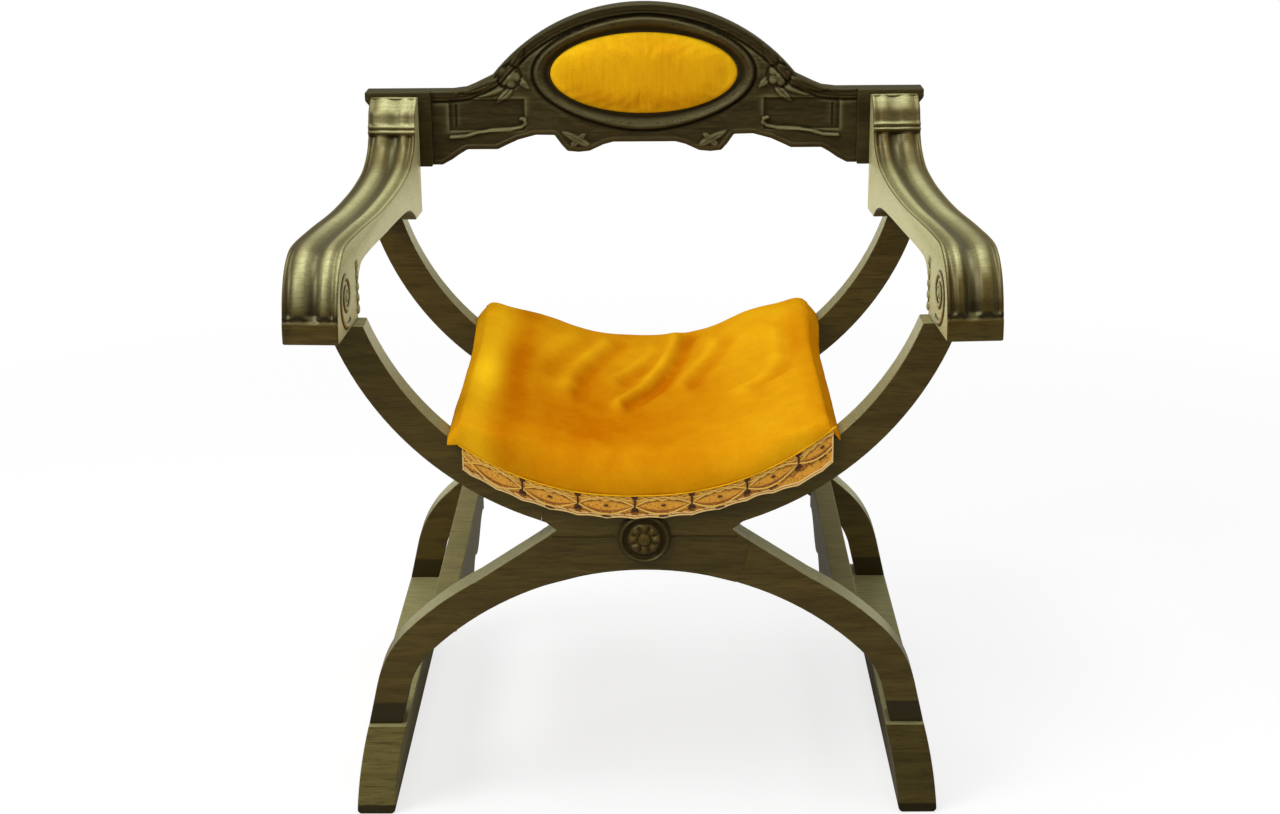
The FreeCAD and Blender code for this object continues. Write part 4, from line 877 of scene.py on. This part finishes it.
cloth.settings.use_pressure, cloth.settings.uniform_pressure_force = True, PAD_PRESSURE
cloth.settings.shrink_min = PAD_SLACK
cloth.settings.vertex_group_mass = "tacked"
cloth.settings.effector_weights.gravity = 0.0
cloth.collision_settings.use_collision = False
for step in range(1, PAD_STEPS + 1):
    bpy.context.scene.frame_set(step)
swollen = pad.evaluated_get(bpy.context.evaluated_depsgraph_get()).data
moved = [(v.co - w.co) for v, w in zip(swollen.vertices, mesh.vertices)]
pad.modifiers.clear()
pad.vertex_groups.clear()
for vertex, shift in zip(mesh.vertices, moved):
    if shift.length > PAD_SWELL:
        shift = shift * (PAD_SWELL / shift.length)
    vertex.co += shift
bpy.context.scene.frame_set(1)
rim = [math.hypot(v.co.x / OVAL_WIDE, (v.co.z - OVAL_MIDDLE) / OVAL_HIGH) for v in mesh.vertices]
# The pad's tone, paler towards the rim.
marked(mesh, "tone_and_painted_light", "POINT", [0.52 + 0.24 * smooth_step(share, 0.80, 0.99) for share in rim])
mesh.materials.append(velvet("pad_velvet", (42.0, 42.0, 5.0), 0.55))
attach(pad, "back")
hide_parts("crest_pad")

# The seat: one cut of the same velvet, nailed round both rails so that it hangs between them as a sling.
# It wrinkles towards the back where it has been sat in, and turns down in front as a short skirt.
RAIL_ANGLE, RAIL_HALF, RAIL_DEEP = math.radians(38), 0.015, 0.010
RAIL_CHORD, BOWL_CENTRE = 0.30363, 0.662
SLING_FRONT, SLING_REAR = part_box("seat_sling")[0].y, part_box("seat_sling")[1].y
CLOTH, CLOTH_GAP, SEAT_SAG = 0.0022, 0.0004, 0.037
FRONT_ROUND, RAIL_ROUND, REAR_HEM = 0.040, 0.0105, 0.0042
HEM_LOW, HEM_CURVE, HEM_MIDDLE, HEM_POWER, HEM_LEFT, HEM_RIGHT = 0.3722, 2.857, -0.008, 2.3, -0.190, 0.197
ACROSS, BACKWARDS, ROUNDING, TURNED = 190, 130, 20, 5


def sling_section(lift):
    """Outer line of the cloth from the left rail's outer edge to the right one's, by even steps."""
    off = Vector((math.sin(RAIL_ANGLE), 0, math.cos(RAIL_ANGLE)))
    slope = Vector((-math.cos(RAIL_ANGLE), 0, math.sin(RAIL_ANGLE)))
    middle = Vector((0, 0, BOWL_CENTRE)) - off * (RAIL_CHORD - RAIL_DEEP)
    gap = CLOTH_GAP + lift
    low = middle + slope * (RAIL_HALF + gap) - off * (RAIL_DEEP - 0.0009)
    high = middle + slope * (RAIL_HALF + gap) + off * (RAIL_DEEP - gap * 0.2)
    top = middle + slope * (RAIL_HALF - gap * 0.3) + off * (RAIL_DEEP + gap)
    rail_top = (middle + slope * RAIL_HALF + off * (RAIL_DEEP + CLOTH_GAP)).z
    sag = rail_top - SEAT_SAG - 0.004 + lift
    half = [(low.x, low.z), ((low.x + high.x) / 2, (low.z + high.z) / 2), (high.x - 0.0006, high.z - 0.0022),
            (high.x + 0.0008, high.z + 0.0006), (top.x, top.z)]
    half += [(top.x * s, sag + (top.z - sag) * s * s) for s in (0.9, 0.75, 0.6, 0.45, 0.3, 0.15, 0.0)]
    line = through(half + [(-x, z) for x, z in reversed(half[:-1])], 14)
    run = np.concatenate([[0], np.cumsum(np.linalg.norm(np.diff(line, axis=0), axis=1))])
    even = np.linspace(0, run[-1], ACROSS)
    return np.stack([np.interp(even, run, line[:, 0]), np.interp(even, run, line[:, 1])], 1), run[-1]


FOLDS = [([(-0.030, -0.030), (-0.004, 0.024), (0.019, 0.107), (0.036, 0.205)], 0.0090, 0.0062),
         ([(-0.090, -0.010), (-0.087, 0.050), (-0.074, 0.110), (-0.050, 0.185)], 0.0100, 0.0040),
         ([(-0.036, 0.060), (-0.014, 0.105), (0.010, 0.165)], 0.0080, 0.0030),
         ([(0.040, 0.040), (0.056, 0.085), (0.082, 0.155)], 0.0085, 0.0036),
         ([(0.108, -0.014), (0.134, 0.006), (0.149, 0.050), (0.153, 0.130)], 0.0100, 0.0034),
         ([(-0.128, 0.060), (-0.112, 0.120), (-0.086, 0.190)], 0.0110, 0.0022)]


def fold_share(x, y, part):
    """How high the folds stand at a point of the seat, or else the painted highlight on their ridges less the
    painted shade beside them.
    """
    total = 0.0
    for line, half, high in FOLDS:
        ys = [p[1] for p in line]
        at = np.interp(y, ys, [p[0] for p in line])
        slope = (line[-1][0] - line[0][0]) / (line[-1][1] - line[0][1])
        off = (x - at) / math.hypot(1, slope)
        fade = bell(max(0.0, ys[0] - y, y - ys[-1]), 0, 0.026)
        swell = bell(off, 0, half)
        dip = bell(off, 1.75 * half, 1.15 * half)
        if part == "height":
            total += fade * high * (swell - 0.75 * dip)
        else:
            total += fade * (high / 0.006) * (0.30 * swell - 0.34 * dip)
    return total


def lifted_cloth(x, y):
    """How far the cloth stands off an even sling: folds, a slack rear corner and small unevenness."""
    slack = 0.0060 * smooth_step(x, 0.070, 0.160) * smooth_step(y, 0.060, 0.200)
    slack += 0.0015 * smooth_step(-x, 0.110, 0.170) * smooth_step(y, 0.120, 0.220)
    slack += (0.0035 + 0.0075 * bell(abs(x), 0.125, 0.040)) * smooth_step(y, 0.060, 0.220)
    uneven = (0.0010 * noise.noise(Vector((x * 15, y * 12, 1.7)))
              + 0.0003 * noise.noise(Vector((x * 55, y * 55, 4.2))))
    return fold_share(x, y, "height") * (1 - 0.8 * smooth_step(abs(x), 0.158, 0.180)) + slack + uneven


def painted_light_share(x, y, down):
    """How far the velvet's colour goes to its pale end, from 0 to 1: a base tone with painted highlight and
    painted shade.
    """
    # Painted light and shade: highlight on fold ridges with shade beside them, a highlight along the left
    # rail with shade next to it, shade in the middle left and on the right flank, more light on the right and
    # on the skirt's left, and a little paler towards the back.
    value = 0.24 + 0.8 * fold_share(x, y, "painted_light") * (1 - down)
    value += 0.72 * bell(x, -0.176, 0.015) * (0.28 + 0.72 * bell(y, -0.01, 0.10))
    value -= 0.20 * bell(x, -0.143, 0.016) * (0.4 + 0.6 * smooth_step(y, -0.20, 0.05))
    value -= 0.20 * bell(x, -0.045, 0.095) * bell(y, -0.09, 0.13)
    value += 0.12 * smooth_step(x, 0.050, 0.130) * (1 - smooth_step(x, 0.165, 0.185))
    value -= 0.14 * smooth_step(x, 0.183, 0.197)
    value += 0.07 * smooth_step(y, 0.05, 0.20) + 0.16 * down * smooth_step(-x, 0.130, 0.180)
    return min(1.0, max(0.0, value))


def hem_height(x):
    """Height of the skirt's hem at a place across the seat."""
    return HEM_LOW + HEM_CURVE * abs(min(max(x, HEM_LEFT), HEM_RIGHT) - HEM_MIDDLE) ** HEM_POWER


section, sling_wide = sling_section(0.004)
tangent = np.gradient(section, axis=0)
normal = np.stack([-tangent[:, 1], tangent[:, 0]], 1)
normal /= np.linalg.norm(normal, axis=1)[:, None]
corners = int(np.argmin(section[:, 0])), int(np.argmax(section[:, 0]))


def tucked(column, y):
    """A place across the sling, where the flank below each rail's outer edge is gathered up at the front."""
    edge = section[min(max(column, corners[0]), corners[1])]
    gathered = 0.9 * (1 - smooth_step(y, SLING_FRONT, SLING_FRONT + 0.022))
    return section[column] + (edge - section[column]) * gathered


points, painted_light = [], []
edge_round = RAIL_ROUND + (FRONT_ROUND - RAIL_ROUND) * (1 - smooth_step(abs(section[:, 0]), 0.090, 0.158))
for step in range(TURNED, 0, -1):
    angle = math.pi / 2 * step / TURNED
    for (x, z), (nx, nz) in zip(section, normal):
        lift = lifted_cloth(x, SLING_REAR) - REAR_HEM * (1 - math.cos(angle)) - 0.004 * (step == TURNED)
        points.append((x + nx * lift, SLING_REAR - REAR_HEM * (1 - math.sin(angle)), z + nz * lift))
        painted_light.append(painted_light_share(x, SLING_REAR, 0))
for step in range(BACKWARDS):
    along = step / (BACKWARDS - 1)
    for column, ((nx, nz), corner) in enumerate(zip(normal, edge_round)):
        y = (SLING_REAR - REAR_HEM) * (1 - along) + (SLING_FRONT + corner) * along
        x, z = tucked(column, y)
        lift = lifted_cloth(x, y)
        points.append((x + nx * lift, y, z + nz * lift))
        painted_light.append(painted_light_share(x, y, 0))
for step in range(1, ROUNDING + 1):
    angle = math.pi / 2 * step / ROUNDING
    for column, ((nx, nz), corner) in enumerate(zip(normal, edge_round)):
        y = SLING_FRONT + corner * (1 - math.sin(angle))
        x, z = tucked(column, y)
        lift = lifted_cloth(x, SLING_FRONT + corner) * math.cos(angle)
        hem = min(hem_height(x), z - 0.003)
        points.append((x + nx * lift, y + 0.0007 * math.sin(x * 95) * math.sin(angle),
                       z + nz * lift - (z - hem) * (1 - math.cos(angle))))
        painted_light.append(painted_light_share(x, y, step / ROUNDING))
rows = TURNED + BACKWARDS + ROUNDING
mesh = meshed("seat_velvet", points, sheet_faces(rows, ACROSS))
marked(mesh, "tone_and_painted_light", "POINT", painted_light)
if mesh.polygons[(rows // 4) * (ACROSS - 1) + ACROSS // 2].normal.z < 0:
    mesh.flip_normals()
mesh.shade_smooth()
mesh.materials.append(velvet("seat_velvet", (9.0, 6.0, 9.0), 0.30))
seat = linked("seat_velvet", mesh)
thick = seat.modifiers.new("cloth", "SOLIDIFY")
thick.thickness, thick.offset = CLOTH, -1.0
seat.data = baked(seat)
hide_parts("seat_sling")
hem_line = [(x, SLING_FRONT - 0.0002, hem_height(x)) for x in np.linspace(HEM_LEFT, HEM_RIGHT, 160)]
piping = grown("seat_piping", [hem_line], 0.0008, 8, mesh.materials[0])
marked(piping.data, "tone_and_painted_light", "POINT", [0.55] * len(piping.data.vertices))
for piece in (seat, piping):
    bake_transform(piece)

# Lace under the skirt: a tan crochet braid whose cords cross in ovals, with a red-brown knotted bar at each
# crossing, a small slit below between them and a cream scalloped edge, sewn to the back of the hem.
LACE_LEFT, LACE_RIGHT, LACE_KNOT, LACE_REPEAT = -0.1865, 0.1945, -0.0097, 0.0593
LACE_DEEP, LACE_CORNER, LACE_HOLES, LACE_MARGIN, NET_ROWS = 0.0262, 0.0125, 300.0, 0.006, 8
KNOT_BARS = [(0.0014, 0.0036), (0.0034, 0.0028), (0.0150, 0.0030), (0.0172, 0.0040)]
LACE_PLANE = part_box("lace_trim")[0].y
LACE_TAN, LACE_GOLD, LACE_HOLE_SHADE = (0.98, 0.45, 0.034, 1), (1.0, 0.61, 0.110, 1), (0.42, 0.140, 0.010, 1)
LACE_BROWN = (0.40, 0.140, 0.018, 1)
LACE_CREAM, LACE_RED = (1.0, 0.68, 0.25, 1), (0.090, 0.022, 0.004, 1)

xs = np.linspace(LACE_LEFT, LACE_RIGHT, 400)
zs = np.array([hem_height(x) for x in xs])
run = np.concatenate([[0], np.cumsum(np.hypot(np.diff(xs), np.diff(zs)))])
run -= np.interp(LACE_KNOT, xs, run)


def on_lace(along, down, out):
    """A point of the lace by its run from the middle knot, its drop below the hem and its stand-off."""
    x = float(np.interp(along, run, xs))
    return (x, LACE_PLANE + 0.0014 - out, float(np.interp(along, run, zs)) - down)


def lace_deep(along):
    """Depth of the scalloped lace, which hangs lower where it turns the right corner."""
    corner = LACE_CORNER * smooth_step(along, 0.120, 0.195)
    return LACE_DEEP + corner - 0.0016 * abs(math.sin(math.pi * along / (LACE_REPEAT / 2)))


steps = np.linspace(run[0], run[-1], 520)
points = [on_lace(a, lace_deep(a) * r / (NET_ROWS - 1) - 0.001, 0.0) for r in range(NET_ROWS) for a in steps]
mesh = meshed("lace_net", points, [face[::-1] for face in sheet_faces(NET_ROWS, len(steps))])
mesh.shade_smooth()
net_paint = speckled("lace_net", LACE_TAN, 0.85, 0.0, 420.0, 0.0004)
tree = net_paint.node_tree
shader = tree.nodes["Principled BSDF"]
thread_tone = shader.inputs["Base Color"].links[0].from_socket
place = wired(tree, "TexCoord")["Object"]
# The net is painted darker in its holes, as painted shade seen through them.
loops = wired(tree, "TexVoronoi", {"Vector": place, "Scale": LACE_HOLES}, feature="DISTANCE_TO_EDGE")
hole_shade = ranged(tree, loops["Distance"], 0.10, 0.30, 0.0, 0.65)
plugged(tree, shader, {"Base Color": mixed(tree, hole_shade, thread_tone, LACE_HOLE_SHADE)})
gold_paint, cream_paint, brown_paint, red_paint = (
    speckled("lace_" + label, colour, 0.85, 0.0, fineness, 0.0004)
    for label, colour, fineness in (("gold", LACE_GOLD, 900.0), ("cream", LACE_CREAM, 900.0),
                                    ("brown", LACE_BROWN, 700.0), ("red", LACE_RED, 700.0)))
mesh.materials.append(net_paint)
net = linked("lace_net", mesh)
thick = net.modifiers.new("net", "SOLIDIFY")
thick.thickness, thick.offset = 0.0009, 0.0
net.data = baked(net)


def crossing(middle, swing, waves, out):
    """Two cords that wave along the lace and cross each other at every knot."""
    turns = math.pi * steps * waves / LACE_REPEAT
    return [[on_lace(a, middle + swing * math.sin(t), out + 0.0004 * math.cos(t))
             for a, t in zip(steps, turns + start)] for start in (0, math.pi)]


pale = crossing(0.0120, 0.0092, 1, 0.0010) + crossing(0.0040, 0.0022, 5, 0.0007)
brown = crossing(0.0120, 0.0058, 1, 0.0007) + crossing(0.0205, 0.0018, 5, 0.0006)
edges = [[on_lace(a, lace_deep(a) - back, 0.0007) for a in steps] for back in (0.0009, 0.0034)]
edges += [[on_lace(a, d, 0.0007) for d in np.linspace(0.0, lace_deep(end), 8)]
          for a, end in ((run[0] + 0.0008, run[0]), (run[-1] - 0.0008, run[-1]))]
knots = [[on_lace(run[0] + 0.0030 + s, 0.0010, 0.0018) for s in (-0.0018, 0.0, 0.0018)]]
for k in range(-2, 4):
    a = k * LACE_REPEAT
    if not run[0] + LACE_MARGIN < a < run[-1] - LACE_MARGIN:
        continue
    knots.append([on_lace(a, d, 0.0017) for d in (0.0012, 0.0060, 0.0110, 0.0165)])
    knots += [[on_lace(a + s, d, 0.0017) for s in (-half, 0.0, half)] for d, half in KNOT_BARS]
    a += LACE_REPEAT / 2
    if run[0] + LACE_MARGIN < a < run[-1] - LACE_MARGIN:
        knots.append([on_lace(a + s, 0.0232 - 8 * s * s, 0.0012)
                      for s in (-0.0045, -0.002, 0.0, 0.002, 0.0045)])
        knots.append([on_lace(a + s, 0.0118, 0.0012) for s in (-0.0022, 0.0, 0.0022)])
lace = [net, grown("lace_braid", pale, 0.00095, 6, gold_paint),
        grown("lace_shade", brown, 0.00070, 6, brown_paint),
        grown("lace_edging", edges, 0.0009, 6, cream_paint),
        grown("lace_knots", knots, 0.00105, 7, red_paint)]
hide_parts("lace_trim")
for piece in lace:
    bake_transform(piece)
